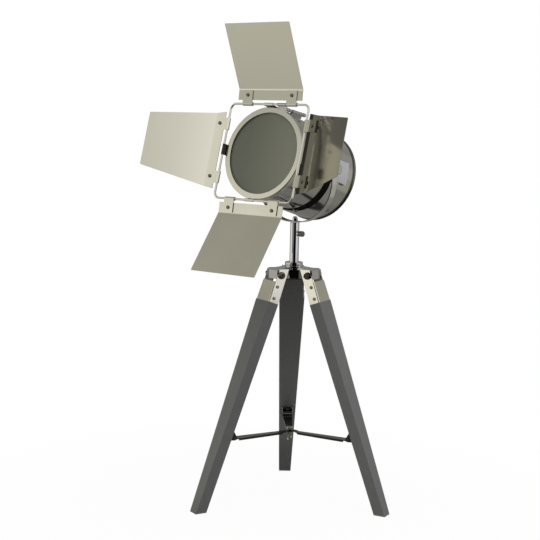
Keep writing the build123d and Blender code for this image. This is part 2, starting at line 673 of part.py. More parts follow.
def brace_strip(level):
    """One strip of the brace along +X, joggled up by its own place in the stack."""
    rise = level * BRACE_SHEET
    low = BRACE_HEIGHT
    with BuildPart() as strip:
        with BuildSketch(Plane.XZ):
            with BuildLine():
                Polyline(
                    (-BRACE_EYE_RADIUS, low + rise),
                    (BRACE_JOGGLE[0], low + rise),
                    (BRACE_JOGGLE[1], low),
                    (pin_radius_out, low),
                    (pin_radius_out, low + BRACE_SHEET),
                    (BRACE_JOGGLE[1], low + BRACE_SHEET),
                    (BRACE_JOGGLE[0], low + rise + BRACE_SHEET),
                    (-BRACE_EYE_RADIUS, low + rise + BRACE_SHEET),
                    close=True,
                )
            make_face()
            with Locations((pin_radius_out, pin_height)):
                Circle(knuckle_radius)
                Circle(HINGE_PIN_RADIUS + RUNNING_FIT, mode=Mode.SUBTRACT)
        extrude(amount=BRACE_WIDTH / 2, both=True)
        with BuildSketch(Plane.XY.offset(low)):
            with BuildLine():
                Polyline(
                    (0, -BRACE_NECK / 2),
                    (strip_full, -BRACE_WIDTH / 2),
                    (pin_radius_out + knuckle_radius, -BRACE_WIDTH / 2),
                    (pin_radius_out + knuckle_radius, BRACE_WIDTH / 2),
                    (strip_full, BRACE_WIDTH / 2),
                    (0, BRACE_NECK / 2),
                    close=True,
                )
            make_face()
            Circle(BRACE_EYE_RADIUS)
            Circle(BRACE_BOLT_DIAMETER / 2 + SCREW_FIT, mode=Mode.SUBTRACT)
        extrude(amount=HINGE_HEIGHT, mode=Mode.INTERSECT)
        with BuildSketch(Plane.XY.offset(low + BRACE_SHEET)):
            lip_outline(0)
            lip_outline(BRACE_SHEET, Mode.SUBTRACT)
        extrude(amount=-BRACE_SHEET - BRACE_LIP)
    return strip.part


for level, (side, azimuth) in enumerate(LEG_AZIMUTHS.items()):
    pieces[f"brace_strip_{side}"] = radial_plane(azimuth).location * brace_strip(level)

with BuildPart() as brace_hinges:
    for azimuth in LEG_AZIMUTHS.values():
        add(radial_plane(azimuth).location * brace_hinge.part)

with BuildPart() as brace_pins:
    for azimuth in LEG_AZIMUTHS.values():
        add(radial_plane(azimuth).location * brace_pin.part)

with BuildPart() as brace_screws:
    for azimuth in LEG_AZIMUTHS.values():
        screw_place = HINGE_SCREW.offset(HINGE_SHEET)
        add(radial_plane(azimuth).location * screw_place.location * bracket_screw.part)

stack_top = BRACE_HEIGHT + len(LEG_AZIMUTHS) * BRACE_SHEET

with BuildPart() as brace_bolt:
    with BuildSketch(Plane.XY.offset(stack_top)):
        Circle(BRACE_EYE_RADIUS)
    extrude(amount=WASHER_THICKNESS)
    with BuildSketch(Plane.XY.offset(stack_top + WASHER_THICKNESS)):
        Circle(BRACE_HEAD_RADIUS)
    extrude(amount=BRACE_HEAD_HEIGHT)
    fillet(brace_bolt.edges().group_by(Axis.Z)[-1], BRACE_HEAD_HEIGHT * 0.45)
    with BuildSketch(Plane.XY.offset(stack_top)):
        Circle(BRACE_BOLT_DIAMETER / 2)
    extrude(amount=BRACE_HEIGHT - WING_NUT_HEIGHT - BRACE_SHEET - stack_top)

# The wing nut under the brace, drawn upside down.
under_brace = Plane(origin=(0, 0, BRACE_HEIGHT), x_dir=(1, 0, 0), z_dir=(0, 0, -1))
wing_side = WING_SPAN / 2

with BuildPart() as brace_knob:
    with BuildSketch(Plane.XZ):
        with BuildLine():
            Polyline(
                (0, 0),
                (WING_NUT_RADIUS, 0),
                (WING_NUT_RADIUS * 0.8, WING_NUT_HEIGHT),
                (0, WING_NUT_HEIGHT),
                close=True,
            )
        make_face()
    revolve(axis=Axis.Z)
    with BuildSketch(Plane.XZ) as wings:
        for way in (-1, 1):
            Polygon(
                (way * WING_NUT_RADIUS * 0.7, WING_NUT_HEIGHT * 0.1),
                (way * WING_NUT_RADIUS, WING_NUT_HEIGHT * 0.2),
                (way * wing_side, WING_DROP * 0.8),
                (way * wing_side * 0.8, WING_DROP),
                (way * WING_NUT_RADIUS * 0.7, WING_NUT_HEIGHT * 0.8),
                align=None,
            )
    extrude(amount=WING_SHEET / 2, both=True)
    with BuildSketch(Plane.XY):
        Circle(BRACE_BOLT_DIAMETER / 2 + RUNNING_FIT)
    extrude(amount=WING_DROP, mode=Mode.SUBTRACT)

pieces["brace_hinges"] = brace_hinges.part
pieces["brace_hinge_pins"] = brace_pins.part
pieces["brace_hinge_screws"] = brace_screws.part
pieces["brace_bolt"] = brace_bolt.part
pieces["brace_knob"] = under_brace.rotated((0, 0, WING_AZIMUTH)).location * brace_knob.part

# ---------------------------------------------------------------- yoke

yoke_half = YOKE_INSIDE / 2
strip_low = -YOKE_DROP

with BuildPart() as yoke:
    with BuildSketch(Plane.XZ):
        with BuildLine():
            FilletPolyline(
                (-yoke_half, YOKE_STRIP / 2),
                (-yoke_half, strip_low + YOKE_SHEET),
                (yoke_half, strip_low + YOKE_SHEET),
                (yoke_half, YOKE_STRIP / 2),
                radius=YOKE_CORNER,
            )
            offset(amount=YOKE_SHEET, side=Side.RIGHT)
        make_face()
    extrude(amount=YOKE_STRIP / 2, both=True)
    # Round ends above the pivots.
    fillet(yoke.edges().filter_by(Axis.X).group_by(Axis.Z)[-1], YOKE_STRIP * 0.48)
    with BuildSketch(Plane.YZ):
        Circle(PIVOT_HOLE_RADIUS)
    extrude(amount=YOKE_INSIDE, both=True, mode=Mode.SUBTRACT)
    with BuildSketch(Plane.XY.offset(strip_low)):
        Circle(STUD_DIAMETER / 2 + RUNNING_FIT)
    extrude(amount=YOKE_SHEET, mode=Mode.SUBTRACT)

pieces["yoke"] = YOKE.location * yoke.part

# ---------------------------------------------------------------- drum

drum_inside = DRUM_RADIUS - DRUM_SHEET

with BuildPart() as drum_shell:
    with BuildSketch(Plane.XY.offset(DRUM_REAR)):
        Circle(DRUM_RADIUS)
        Circle(drum_inside, mode=Mode.SUBTRACT)
    extrude(amount=DRUM_FRONT - DRUM_REAR)
    with BuildSketch(Plane.YZ):
        Circle(PIVOT_HOLE_RADIUS)
    extrude(amount=DRUM_RADIUS * 2, both=True, mode=Mode.SUBTRACT)

with BuildPart() as rear_cap:
    with BuildSketch(Plane.XZ):
        with BuildLine():
            Line((0, CAP_REAR), (CAP_FLAT_RADIUS, CAP_REAR))
            ThreePointArc(
                (CAP_FLAT_RADIUS, CAP_REAR),
                (CAP_FLAT_RADIUS + (CAP_BEAD_RING - CAP_FLAT_RADIUS) * 0.55, CAP_REAR + CAP_DOME * 0.25),
                (CAP_BEAD_RING, CAP_BEAD_PLANE - BEAD_RADIUS * 0.4),
            )
            offset(amount=CAP_SHEET, side=Side.LEFT)
        make_face()
        with Locations((CAP_BEAD_RING, CAP_BEAD_PLANE)):
            Circle(BEAD_RADIUS)
        with Locations((drum_inside - SCREW_FIT - CAP_SHEET / 2, CAP_BEAD_PLANE + CAP_SPIGOT / 2)):
            Rectangle(CAP_SHEET, CAP_SPIGOT)
        # The end of the drum sits in a step of the bead.
        with Locations((drum_inside - SCREW_FIT, DRUM_REAR)):
            Rectangle(BEAD_RADIUS * 2, BEAD_RADIUS * 2, align=(Align.MIN, Align.MIN), mode=Mode.SUBTRACT)
    revolve(axis=Axis.Z)
    with BuildSketch(Plane.XY.offset(CAP_REAR)):
        with PolarLocations(VENT_CIRCLE, VENT_COUNT):
            SlotOverall(VENT_SIZE[0], VENT_SIZE[1])
        with Locations((0, GLAND_OFFSET)):
            Circle(GLAND_BODY_RADIUS + SCREW_FIT)
    extrude(amount=CAP_DOME, mode=Mode.SUBTRACT)

with BuildPart() as cable_gland:
    with BuildSketch(Plane.XY.offset(CAP_REAR)):
        with Locations((0, GLAND_OFFSET)):
            RegularPolygon(GLAND_BODY_RADIUS * 1.35, 6, major_radius=False)
    extrude(amount=-3.5)
    with BuildSketch(Plane.XY.offset(CAP_REAR - 3.5)):
        with Locations((0, GLAND_OFFSET)):
            Circle(GLAND_BODY_RADIUS * 1.2)
    extrude(amount=-5)
    fillet(cable_gland.edges().group_by(Axis.Z)[0], 1.8)
    with BuildSketch(Plane.XY.offset(CAP_REAR)):
        with Locations((0, GLAND_OFFSET)):
            Circle(GLAND_BODY_RADIUS)
    extrude(amount=CAP_SHEET)
    with BuildSketch(Plane.XY.offset(CAP_INSIDE)):
        with Locations((0, GLAND_OFFSET)):
            RegularPolygon(GLAND_BODY_RADIUS * 1.25, 6, major_radius=False)
    extrude(amount=3)
    with BuildSketch(Plane.XY.offset(CAP_REAR)):
        with Locations((0, GLAND_OFFSET)):
            Circle(GLAND_BORE_RADIUS)
    extrude(amount=12, both=True, mode=Mode.SUBTRACT)

# ---------------------------------------------------------------- lens and bezel

lip_back = BEZEL_FRONT - BEZEL_SHEET
gasket_front = lip_back
gasket_depth = LENS_THICKNESS + 2 * GASKET_WALL
lens_rear = gasket_front - GASKET_WALL - LENS_THICKNESS
gasket_outside = drum_inside - SCREW_FIT

with BuildPart() as bezel_ring:
    with BuildSketch(Plane.XZ):
        with Locations(((BEZEL_BORE + BEZEL_RADIUS) / 2, BEZEL_FRONT - BEZEL_SHEET / 2)):
            Rectangle(BEZEL_RADIUS - BEZEL_BORE, BEZEL_SHEET)
        wall = BEZEL_RADIUS - DRUM_RADIUS - SCREW_FIT
        with Locations((BEZEL_RADIUS - wall / 2, BEZEL_FRONT - BEZEL_DEPTH / 2)):
            Rectangle(wall, BEZEL_DEPTH)
    revolve(axis=Axis.Z)
    front_edges = bezel_ring.edges().group_by(Axis.Z)[-1]
    fillet(front_edges.sort_by(SortBy.RADIUS)[-1], BEZEL_SHEET * 0.9)
    fillet(bezel_ring.edges().group_by(Axis.Z)[-1].sort_by(SortBy.RADIUS)[0], BEZEL_SHEET * 0.5)

with BuildPart() as lens:
    with BuildSketch(Plane.XZ):
        with BuildLine():
            Polyline(
                (0, lens_rear),
                (LENS_RADIUS, lens_rear),
                (LENS_RADIUS, lens_rear + LENS_THICKNESS),
                (BEZEL_BORE - 1, lens_rear + LENS_THICKNESS),
            )
            RadiusArc(
                (0, lens_rear + LENS_THICKNESS + LENS_DOME),
                (BEZEL_BORE - 1, lens_rear + LENS_THICKNESS),
                ((BEZEL_BORE - 1) ** 2 + LENS_DOME**2) / 2 / LENS_DOME,
            )
            Line((0, lens_rear + LENS_THICKNESS + LENS_DOME), (0, lens_rear))
        make_face()
    revolve(axis=Axis.Z)

with BuildPart() as lens_gasket:
    with BuildSketch(Plane.XZ):
        with Locations((gasket_outside, gasket_front)):
            Rectangle(gasket_outside - BEZEL_BORE - 0.6, gasket_depth, align=(Align.MAX, Align.MAX))
        with Locations((LENS_RADIUS + SCREW_FIT, lens_rear + LENS_THICKNESS / 2)):
            Rectangle(
                LENS_RADIUS - BEZEL_BORE + 2,
                LENS_THICKNESS + 2 * SCREW_FIT,
                align=(Align.MAX, Align.CENTER),
                mode=Mode.SUBTRACT,
            )
    revolve(axis=Axis.Z)

reflector_front = gasket_front - gasket_depth
reflector_rim = gasket_outside - 2.5

with BuildPart() as reflector:
    with BuildSketch(Plane.XZ):
        with BuildLine():
            SagittaArc(
                (REFLECTOR_THROAT, REFLECTOR_REAR),
                (reflector_rim, reflector_front - REFLECTOR_SHEET),
                -REFLECTOR_SAG,
            )
            offset(amount=REFLECTOR_SHEET, side=Side.RIGHT)
        make_face()
        with Locations((gasket_outside - 0.2, reflector_front)):
            Rectangle(
                gasket_outside - reflector_rim,
                REFLECTOR_SHEET * 1.2,
                align=(Align.MAX, Align.MAX),
            )
    revolve(axis=Axis.Z)

# ---------------------------------------------------------------- bulb

holder_front = CAP_INSIDE + HOLDER_LENGTH
socket_radius = BULB_CAP_RADIUS + 0.4

with BuildPart() as lampholder:
    with BuildSketch(Plane.XY.offset(CAP_INSIDE)):
        Circle(HOLDER_RADIUS * 0.82)
    extrude(amount=HOLDER_LENGTH * 0.4)
    with BuildSketch(Plane.XY.offset(CAP_INSIDE + HOLDER_LENGTH * 0.35)):
        Circle(HOLDER_RADIUS)
    extrude(amount=HOLDER_LENGTH * 0.65)
    fillet(lampholder.edges().filter_by(GeomType.CIRCLE).group_by(Axis.Z)[-1], 1.0)
    with BuildSketch(Plane.XY.offset(holder_front)):
        Circle(socket_radius)
    extrude(amount=-HOLDER_LENGTH * 0.55, mode=Mode.SUBTRACT)

bulb_tail = holder_front - HOLDER_LENGTH * 0.55 + 0.5
neck_front = holder_front + 2

with BuildPart() as bulb:
    with BuildSketch(Plane.XZ):
        with BuildLine():
            globe_start = (
                BULB_RADIUS * sin(radians(38)),
                BULB_CENTRE - BULB_RADIUS * cos(radians(38)),
            )
            Polyline(
                (0, bulb_tail),
                (BULB_CAP_RADIUS * 0.5, bulb_tail),
                (BULB_CAP_RADIUS, bulb_tail + 4),
                (BULB_CAP_RADIUS, neck_front),
                globe_start,
            )
            ThreePointArc(globe_start, (BULB_RADIUS, BULB_CENTRE), (0, BULB_CENTRE + BULB_RADIUS))
            Line((0, BULB_CENTRE + BULB_RADIUS), (0, bulb_tail))
        make_face()
    revolve(axis=Axis.Z)

# ---------------------------------------------------------------- tilt pivots

washer_gap = yoke_half - DRUM_RADIUS


def both_sides(part):
    """Two copies of a piece drawn along +X: one as it is, one on the other side."""
    with BuildPart() as pair:
        add(part)
        mirror(part, about=Plane.YZ)
    return pair.part


with BuildPart() as pivot_washer:
    with BuildSketch(Plane.YZ.offset(yoke_half)):
        Circle(PIVOT_WASHER_RADIUS)
        Circle(PIVOT_HOLE_RADIUS, mode=Mode.SUBTRACT)
    extrude(amount=-washer_gap - 1)
    with BuildSketch(Plane.XY.offset(-PIVOT_WASHER_RADIUS * 2)):
        Circle(DRUM_RADIUS + SCREW_FIT)
    extrude(amount=PIVOT_WASHER_RADIUS * 4, mode=Mode.SUBTRACT)

with BuildPart() as pivot_boss:
    with BuildSketch(Plane.YZ.offset(drum_inside - PIVOT_BOSS_LENGTH)):
        Circle(PIVOT_BOSS_RADIUS)
        Circle(PIVOT_STUD_RADIUS + RUNNING_FIT, mode=Mode.SUBTRACT)
    extrude(amount=PIVOT_BOSS_LENGTH)
    with BuildSketch(Plane.XY.offset(-PIVOT_BOSS_RADIUS * 2)):
        Circle(drum_inside - SCREW_FIT)
    extrude(amount=PIVOT_BOSS_RADIUS * 4, mode=Mode.INTERSECT)

with BuildPart() as tilt_knob:
    knob_seat = Plane.YZ.offset(yoke_half + YOKE_SHEET)
    add(knob_seat.location * fluted_knob(TILT_KNOB_RADIUS, TILT_KNOB_HEIGHT, 10))
    with BuildSketch(knob_seat):
        Circle(PIVOT_STUD_RADIUS)
    extrude(amount=drum_inside - PIVOT_BOSS_LENGTH - yoke_half - YOKE_SHEET)

# ---------------------------------------------------------------- wire frame

with BuildPart() as wire_frame:
    with BuildLine(Plane.XY.offset(FRAME_PLANE)) as wire_path:
        FilletPolyline(
            (WIRE_OFFSET, WIRE_OFFSET),
            (WIRE_OFFSET, -WIRE_OFFSET),
            (-WIRE_OFFSET, -WIRE_OFFSET),
            (-WIRE_OFFSET, WIRE_OFFSET),
            radius=FRAME_CORNER,
            close=True,
        )
    with BuildSketch(wire_path.line ^ 0):
        Circle(WIRE_RADIUS)
    sweep()

clip_ring = WIRE_RADIUS + SCREW_FIT + CLIP_WRAP
clip_under = BEZEL_RADIUS + CLEAR - WIRE_OFFSET
clip_foot_under = DRUM_RADIUS - WIRE_OFFSET

with BuildPart() as frame_clips:
    for side, along in CLIP_OFFSETS.items():
        wire = side_plane(side)
        clip_plane = Plane(origin=wire.origin + wire.x_dir * along, x_dir=wire.y_dir, z_dir=wire.x_dir)
        with BuildSketch(clip_plane):
            Circle(clip_ring)
            with BuildLine():
                Polyline(
                    (clip_under, 0),
                    (clip_under, CLIP_FOOT[1] + 3),
                    (clip_foot_under, CLIP_FOOT[1] + 1.5),
                    (clip_foot_under - CLIP_WIDTH, CLIP_FOOT[1]),
                    (clip_foot_under - CLIP_WIDTH, CLIP_FOOT[0]),
                    (clip_foot_under + CLIP_SHEET, CLIP_FOOT[0]),
                    (clip_foot_under + CLIP_SHEET, CLIP_FOOT[1]),
                    (clip_under + CLIP_SHEET, CLIP_FOOT[1] + 3),
                    (clip_under + CLIP_SHEET, 0),
                    close=True,
                )
            make_face()
            Circle(WIRE_RADIUS + SCREW_FIT, mode=Mode.SUBTRACT)
        extrude(amount=CLIP_WIDTH / 2, both=True)
    with BuildSketch(Plane.XY.offset(DRUM_REAR)):
        Circle(DRUM_RADIUS + SCREW_FIT)
    extrude(amount=DRUM_FRONT - DRUM_REAR, mode=Mode.SUBTRACT)

# ---------------------------------------------------------------- latch

LATCH = Plane.XY.rotated((0, 0, LATCH_ANGLE - 90))
rod_slope = atan((LATCH_ROD_TAIL[0] - LATCH_ROD_TIP[0]) / (LATCH_ROD_TIP[1] - LATCH_ROD_TAIL[1]))
ROD = Plane(
    origin=LATCH.from_local_coords((0, LATCH_ROD_TAIL[0], LATCH_ROD_TAIL[1])),
    x_dir=LATCH.x_dir,
    z_dir=LATCH.z_dir * cos(rod_slope) - LATCH.y_dir * sin(rod_slope),
)
rod_length = sqrt(
    (LATCH_ROD_TAIL[0] - LATCH_ROD_TIP[0]) ** 2 + (LATCH_ROD_TIP[1] - LATCH_ROD_TAIL[1]) ** 2
)

with BuildPart() as latch_pin:
    with BuildSketch(ROD):
        Circle(LATCH_ROD_RADIUS)
    extrude(amount=rod_length)
    chamfer(latch_pin.edges().sort_by(Axis.Z)[-1], LATCH_ROD_RADIUS * 0.35)
    with BuildSketch(ROD):
        Circle(LATCH_KNOB_RADIUS)
        Circle(LATCH_ROD_RADIUS * 0.6, mode=Mode.SUBTRACT)
    extrude(amount=LATCH_GUIDE[0] - CLEAR)
    with BuildSketch(ROD.offset(LATCH_GUIDE[1] + LATCH_PULL + RUNNING_FIT)):
        Circle(LATCH_COLLAR_RADIUS)
    extrude(amount=LATCH_COLLAR_WIDTH)

guide_radius = LATCH_ROD_RADIUS + RUNNING_FIT + LATCH_GUIDE_WALL

with BuildPart() as latch_bracket:
    with BuildSketch(ROD.offset(LATCH_GUIDE[0])):
        Circle(guide_radius)
        with Locations((0, -guide_radius)):
            Rectangle(LATCH_FOOT_WIDTH, LATCH_ROD_TAIL[0] - DRUM_RADIUS)
    extrude(amount=LATCH_GUIDE[1] - LATCH_GUIDE[0])
    with BuildSketch(Plane.XY.offset(DRUM_REAR)):
        Circle(DRUM_RADIUS + SCREW_FIT)
    extrude(amount=DRUM_FRONT - DRUM_REAR, mode=Mode.SUBTRACT)
    with BuildSketch(ROD):
        Circle(LATCH_ROD_RADIUS + RUNNING_FIT)
    extrude(amount=rod_length, mode=Mode.SUBTRACT)

# A small plate hangs from the wire, beside a tab of the top door, and takes
# the tip of the rod.
tab_under = WIRE_RADIUS + RUNNING_FIT
plate_back = FRAME_PLANE - WIRE_RADIUS - SCREW_FIT - CLIP_SHEET
plate_step = WIRE_OFFSET - tab_under - TAB_SHEET - CLEAR
rod_tip = LATCH.from_local_coords((0, LATCH_ROD_TIP[0], 0))
plate_right = (TAB_SPREAD - TAB_WIDTH) / 2 - CLIP_SHEET
plate_left = plate_right - CLIP_WIDTH
plate_middle = (plate_left + plate_right) / 2

with BuildPart() as latch_plate:
    with BuildSketch(Plane.XY.offset(plate_back)):
        with Locations((plate_middle, plate_step)):
            Rectangle(CLIP_WIDTH, CLIP_SHEET, align=(Align.CENTER, Align.MAX))
        with Locations((rod_tip.X, rod_tip.Y)):
            Circle(LATCH_ROD_RADIUS + LATCH_SHEET)
        make_hull()
        with Locations((plate_middle, plate_step)):
            Rectangle(CLIP_WIDTH, WIRE_OFFSET - plate_step, align=(Align.CENTER, Align.MIN))
    extrude(amount=CLIP_SHEET)
    with BuildSketch(Plane(origin=(plate_left, WIRE_OFFSET, FRAME_PLANE), x_dir=(0, 1, 0), z_dir=(1, 0, 0))):
        Circle(clip_ring)
    extrude(amount=CLIP_WIDTH)
    with BuildSketch(Plane(origin=(0, WIRE_OFFSET, FRAME_PLANE), x_dir=(0, 1, 0), z_dir=(1, 0, 0))):
        Circle(WIRE_RADIUS + SCREW_FIT)
    extrude(amount=WIRE_OFFSET, mode=Mode.SUBTRACT)
    with BuildSketch(ROD):
        Circle(LATCH_ROD_RADIUS + CLEAR)
    extrude(amount=rod_length * 1.2, mode=Mode.SUBTRACT)

head_pieces = {
    "drum_shell": drum_shell.part,
    "rear_cap": rear_cap.part,
    "cable_gland": cable_gland.part,
    "bezel_ring": bezel_ring.part,
    "lens": lens.part,
    "lens_gasket": lens_gasket.part,
    "reflector": reflector.part,
    "lampholder": lampholder.part,
    "bulb": bulb.part,
    "pivot_washers": both_sides(pivot_washer.part),
    "pivot_bosses": both_sides(pivot_boss.part),
    "tilt_knob_right": tilt_knob.part,
    "tilt_knob_left": mirror(tilt_knob.part, about=Plane.YZ),
    "wire_frame": wire_frame.part,
    "frame_clips": frame_clips.part,
    "latch_pin": latch_pin.part,
    "latch_bracket": latch_bracket.part,
    "latch_plate": latch_plate.part,
}
for name, part in head_pieces.items():
    pieces[name] = HEAD.location * part

# ---------------------------------------------------------------- barn doors

leaf_reach = LEAF_LENGTH * cos(radians(DOOR_CREASE))
leaf_rise = LEAF_LENGTH * sin(radians(DOOR_CREASE))
door_level = tab_under - SCREW_FIT
crease = DOOR_GAP + FLANGE_LENGTH


def door_leaf(tip_width):
    """Flange and leaf of one door: the flange lies along +Y, the leaf bends to +Z."""
    crease_width = DOOR_WIDTH + (tip_width - DOOR_WIDTH) * FLANGE_LENGTH / (FLANGE_LENGTH + LEAF_LENGTH)
    with BuildPart() as leaf:
        with BuildSketch(Plane.YZ):
            with BuildLine():
                FilletPolyline(
                    (DOOR_GAP, door_level),
                    (crease, door_level),
                    (crease + leaf_reach, door_level + leaf_rise),
                    radius=DOOR_BEND,
                )
                offset(amount=DOOR_SHEET, side=Side.RIGHT)
            make_face()
        extrude(amount=DOOR_WIDTH / 2, both=True)
        with BuildSketch(Plane.XY.offset(-DOOR_SHEET * 2)) as outline:
            with BuildLine():
                Polyline(
                    (-DOOR_WIDTH / 2, DOOR_GAP),
                    (DOOR_WIDTH / 2, DOOR_GAP),
                    (crease_width / 2, crease),
                    (tip_width / 2, crease + leaf_reach),
                    (-tip_width / 2, crease + leaf_reach),
                    (-crease_width / 2, crease),
                    close=True,
                )
            make_face()
            fillet(outline.vertices().group_by(Axis.Y)[-1], DOOR_CORNER)
        extrude(amount=leaf_rise * 2, mode=Mode.INTERSECT)
        with BuildSketch(Plane.XY.offset(door_level - 2 * DOOR_SHEET)):
            with Locations((-TAB_SPREAD / 2, TAB_SCREW), (TAB_SPREAD / 2, TAB_SCREW)):
                Circle(TAB_SCREW_RADIUS + SCREW_FIT)
        extrude(amount=3 * DOOR_SHEET, mode=Mode.SUBTRACT)
    return leaf.part


with BuildPart() as door_tabs:
    for x in (-TAB_SPREAD / 2, TAB_SPREAD / 2):
        with BuildSketch(Plane.YZ.offset(x)):
            Circle(tab_under + TAB_SHEET)
            with Locations((0, tab_under)):
                Rectangle(TAB_LENGTH, TAB_SHEET, align=(Align.MIN, Align.MIN))
            Circle(tab_under, mode=Mode.SUBTRACT)
        extrude(amount=TAB_WIDTH / 2, both=True)
    tips = door_tabs.edges().filter_by(Axis.Z).group_by(Axis.Y)[-1]
    fillet(tips, 1.0)
    with BuildSketch(Plane.XY):
        with Locations((-TAB_SPREAD / 2, TAB_SCREW), (TAB_SPREAD / 2, TAB_SCREW)):
            Circle(TAB_SCREW_RADIUS + SCREW_FIT)
    extrude(amount=tab_under + 2 * TAB_SHEET, mode=Mode.SUBTRACT)

with BuildPart() as door_screws:
    screw_back = door_level - DOOR_SHEET
    screw_front = tab_under + TAB_SHEET
    with BuildSketch(Plane.XY.offset(screw_front)):
        with Locations((-TAB_SPREAD / 2, TAB_SCREW), (TAB_SPREAD / 2, TAB_SCREW)):
            Circle(TAB_HEAD_RADIUS)
    extrude(amount=1.4)
    fillet(door_screws.edges().group_by(Axis.Z)[-1], 0.8)
    with BuildSketch(Plane.XY.offset(screw_back)):
        with Locations((-TAB_SPREAD / 2, TAB_SCREW), (TAB_SPREAD / 2, TAB_SCREW)):
            Circle(TAB_SCREW_RADIUS)
    extrude(amount=screw_front - screw_back)
    with BuildSketch(Plane.XY.offset(screw_back)):
        with Locations((-TAB_SPREAD / 2, TAB_SCREW), (TAB_SPREAD / 2, TAB_SCREW)):
            RegularPolygon(TAB_HEAD_RADIUS, 6, major_radius=False)
    extrude(amount=-1.6)

for side, rest in DOOR_REST.items():
    door = HEAD.location * side_plane(side).location * Location((0, 0, 0), (rest, 0, 0))
    pieces[f"door_{side}_leaf"] = door * door_leaf(DOOR_TIP_WIDTHS[side])
    pieces[f"door_{side}_tabs"] = door * door_tabs.part
    pieces[f"door_{side}_screws"] = door * door_screws.part

# ---------------------------------------------------------------- origin and export

box = Compound(list(pieces.values())).bounding_box()
to_origin = Vector(-box.center().X, -box.center().Y, -box.min.Z)


def report(name, point, axis=None):
    """Print a reference point, in metres, in the frame of the exported pieces."""
    place = (point + to_origin) / 1000
    line = f"{name}: ({place.X:.5f}, {place.Y:.5f}, {place.Z:.5f})"
    if axis is not None:
        line += f" axis ({axis.X:.6f}, {axis.Y:.6f}, {axis.Z:.6f})"
    print(line)


os.makedirs("parts", exist_ok=True)
for name, piece in pieces.items():
    placed = Location(to_origin) * piece
    placed.label = name
    export_step(placed, f"parts/{name}.step")

report("stem", Vector(0, 0, 0), Vector(0, 0, 1))
report("thumb_screw", THUMB.origin, THUMB.z_dir)
report("brace_centre", Vector(0, 0, BRACE_HEIGHT), Vector(0, 0, 1))
report("tilt", HEAD.origin, HEAD.x_dir)
report("optical_axis", HEAD.origin, HEAD.z_dir)
report("head_up", HEAD.origin, HEAD.y_dir)
report("latch", HEAD.from_local_coords(ROD.origin), HEAD.from_local_coords(ROD.z_dir) - HEAD.origin)
for side in SIDE_TURNS:
    hinge = side_plane(side)
    tip = HEAD.from_local_coords(hinge.origin + hinge.x_dir)
    start = HEAD.from_local_coords(hinge.origin)
    report(f"door_{side}", start, tip - start)
print(f"size {box.size.X:.2f} x {box.size.Y:.2f} x {box.size.Z:.2f}, {len(pieces)} pieces")
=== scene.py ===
# %% [markdown]
# # Dressing a tabletop searchlight in Blender
#
# The lamp arrives here as a finished construction: every strip, screw and shell is a
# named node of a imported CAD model, in metres, standing on z = 0. This notebook gives it
# its looks. It makes the finishes (polished chrome, satin nickel, painted wood, glass),
# adds the few forms that belong to the looks alone, and builds a small studio around
# the lamp, because chrome is only as good as what it reflects.

import json
from math import cos, radians, sin

import bpy
import numpy as np
from mathutils import Matrix, Vector


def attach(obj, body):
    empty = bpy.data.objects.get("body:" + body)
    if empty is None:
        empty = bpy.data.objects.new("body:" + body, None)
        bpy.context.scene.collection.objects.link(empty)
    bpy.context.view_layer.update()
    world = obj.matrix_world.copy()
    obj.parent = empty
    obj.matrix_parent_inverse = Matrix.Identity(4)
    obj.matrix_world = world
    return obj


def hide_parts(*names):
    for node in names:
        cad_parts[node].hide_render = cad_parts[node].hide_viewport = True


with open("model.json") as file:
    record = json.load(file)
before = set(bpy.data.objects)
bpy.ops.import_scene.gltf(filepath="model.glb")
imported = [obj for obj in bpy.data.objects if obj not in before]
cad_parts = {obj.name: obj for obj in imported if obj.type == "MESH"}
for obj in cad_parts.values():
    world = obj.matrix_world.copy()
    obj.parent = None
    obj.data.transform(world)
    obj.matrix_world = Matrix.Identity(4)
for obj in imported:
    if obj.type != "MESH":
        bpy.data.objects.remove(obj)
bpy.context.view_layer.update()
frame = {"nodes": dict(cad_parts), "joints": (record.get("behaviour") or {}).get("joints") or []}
nodes = frame["nodes"]

# %% [markdown]
# ## The axes that every form is measured in
#
# The head leans and turns, so a form on it is far easier to place in the head's own
# axes. The drum's rolled bead, the bezel and the lens are all round about the optical
# axis, which passes through the tilt pivots. The construction's tilt joint holds the
# pivot and the direction across the head, from the left knob to the right one. The
# nose points 15.25 degrees up, which gives two more directions: the one the light
# leaves in, and the one that is up on the drum. The yoke shares the tilt axis, but
# stands upright.

# %% Work out the axes
NOSE_UP = radians(15.25)
LENS_AHEAD = 84

tilt_joint = next(joint for joint in frame["joints"] if joint["name"] == "head_tilt")
PIVOT = np.array(tilt_joint["pos_m"])
ACROSS = np.array(tilt_joint["axis"])
PLUMB = np.array([0.0, 0.0, 1.0])
BEHIND = np.cross(PLUMB, ACROSS)
AHEAD = sin(NOSE_UP) * PLUMB - cos(NOSE_UP) * BEHIND
ABOVE = cos(NOSE_UP) * PLUMB + sin(NOSE_UP) * BEHIND


def from_pivot(distances, directions):
    """Points in the shared frame: the pivot plus each distance times its direction.

    Distances are arrays of one shape, in millimetres; directions are unit vectors.
    """
    steps = [np.multiply.outer(np.asarray(d, float) / 1000, way)
             for d, way in zip(distances, directions)]
    return PIVOT + sum(steps)


lens_centre = from_pivot((0, 0, LENS_AHEAD), (ACROSS, ABOVE, AHEAD))
print("pivot", PIVOT, "lens centre", np.round(lens_centre, 4))

# %% [markdown]
# ## The camera
#
# The eye stands 1.85 m in front of the stem, a little higher than the drum, and looks
# seven degrees down. The view is rolled by little more than a degree, as happens with a
# camera on a hurried tripod. From that far, a long lens of 85 mm draws the near and the
# far parts at nearly one scale. A constraint could aim the camera, but three angles say
# plainly where it looks.

# %% Place the camera
EYE = Vector((-0.0413, -1.8168, 0.5675))
HEADING, PITCH, ROLL = radians(1.47), radians(7.02), radians(1.30)
LENS_LENGTH, SENSOR_WIDTH = 85.35, 36

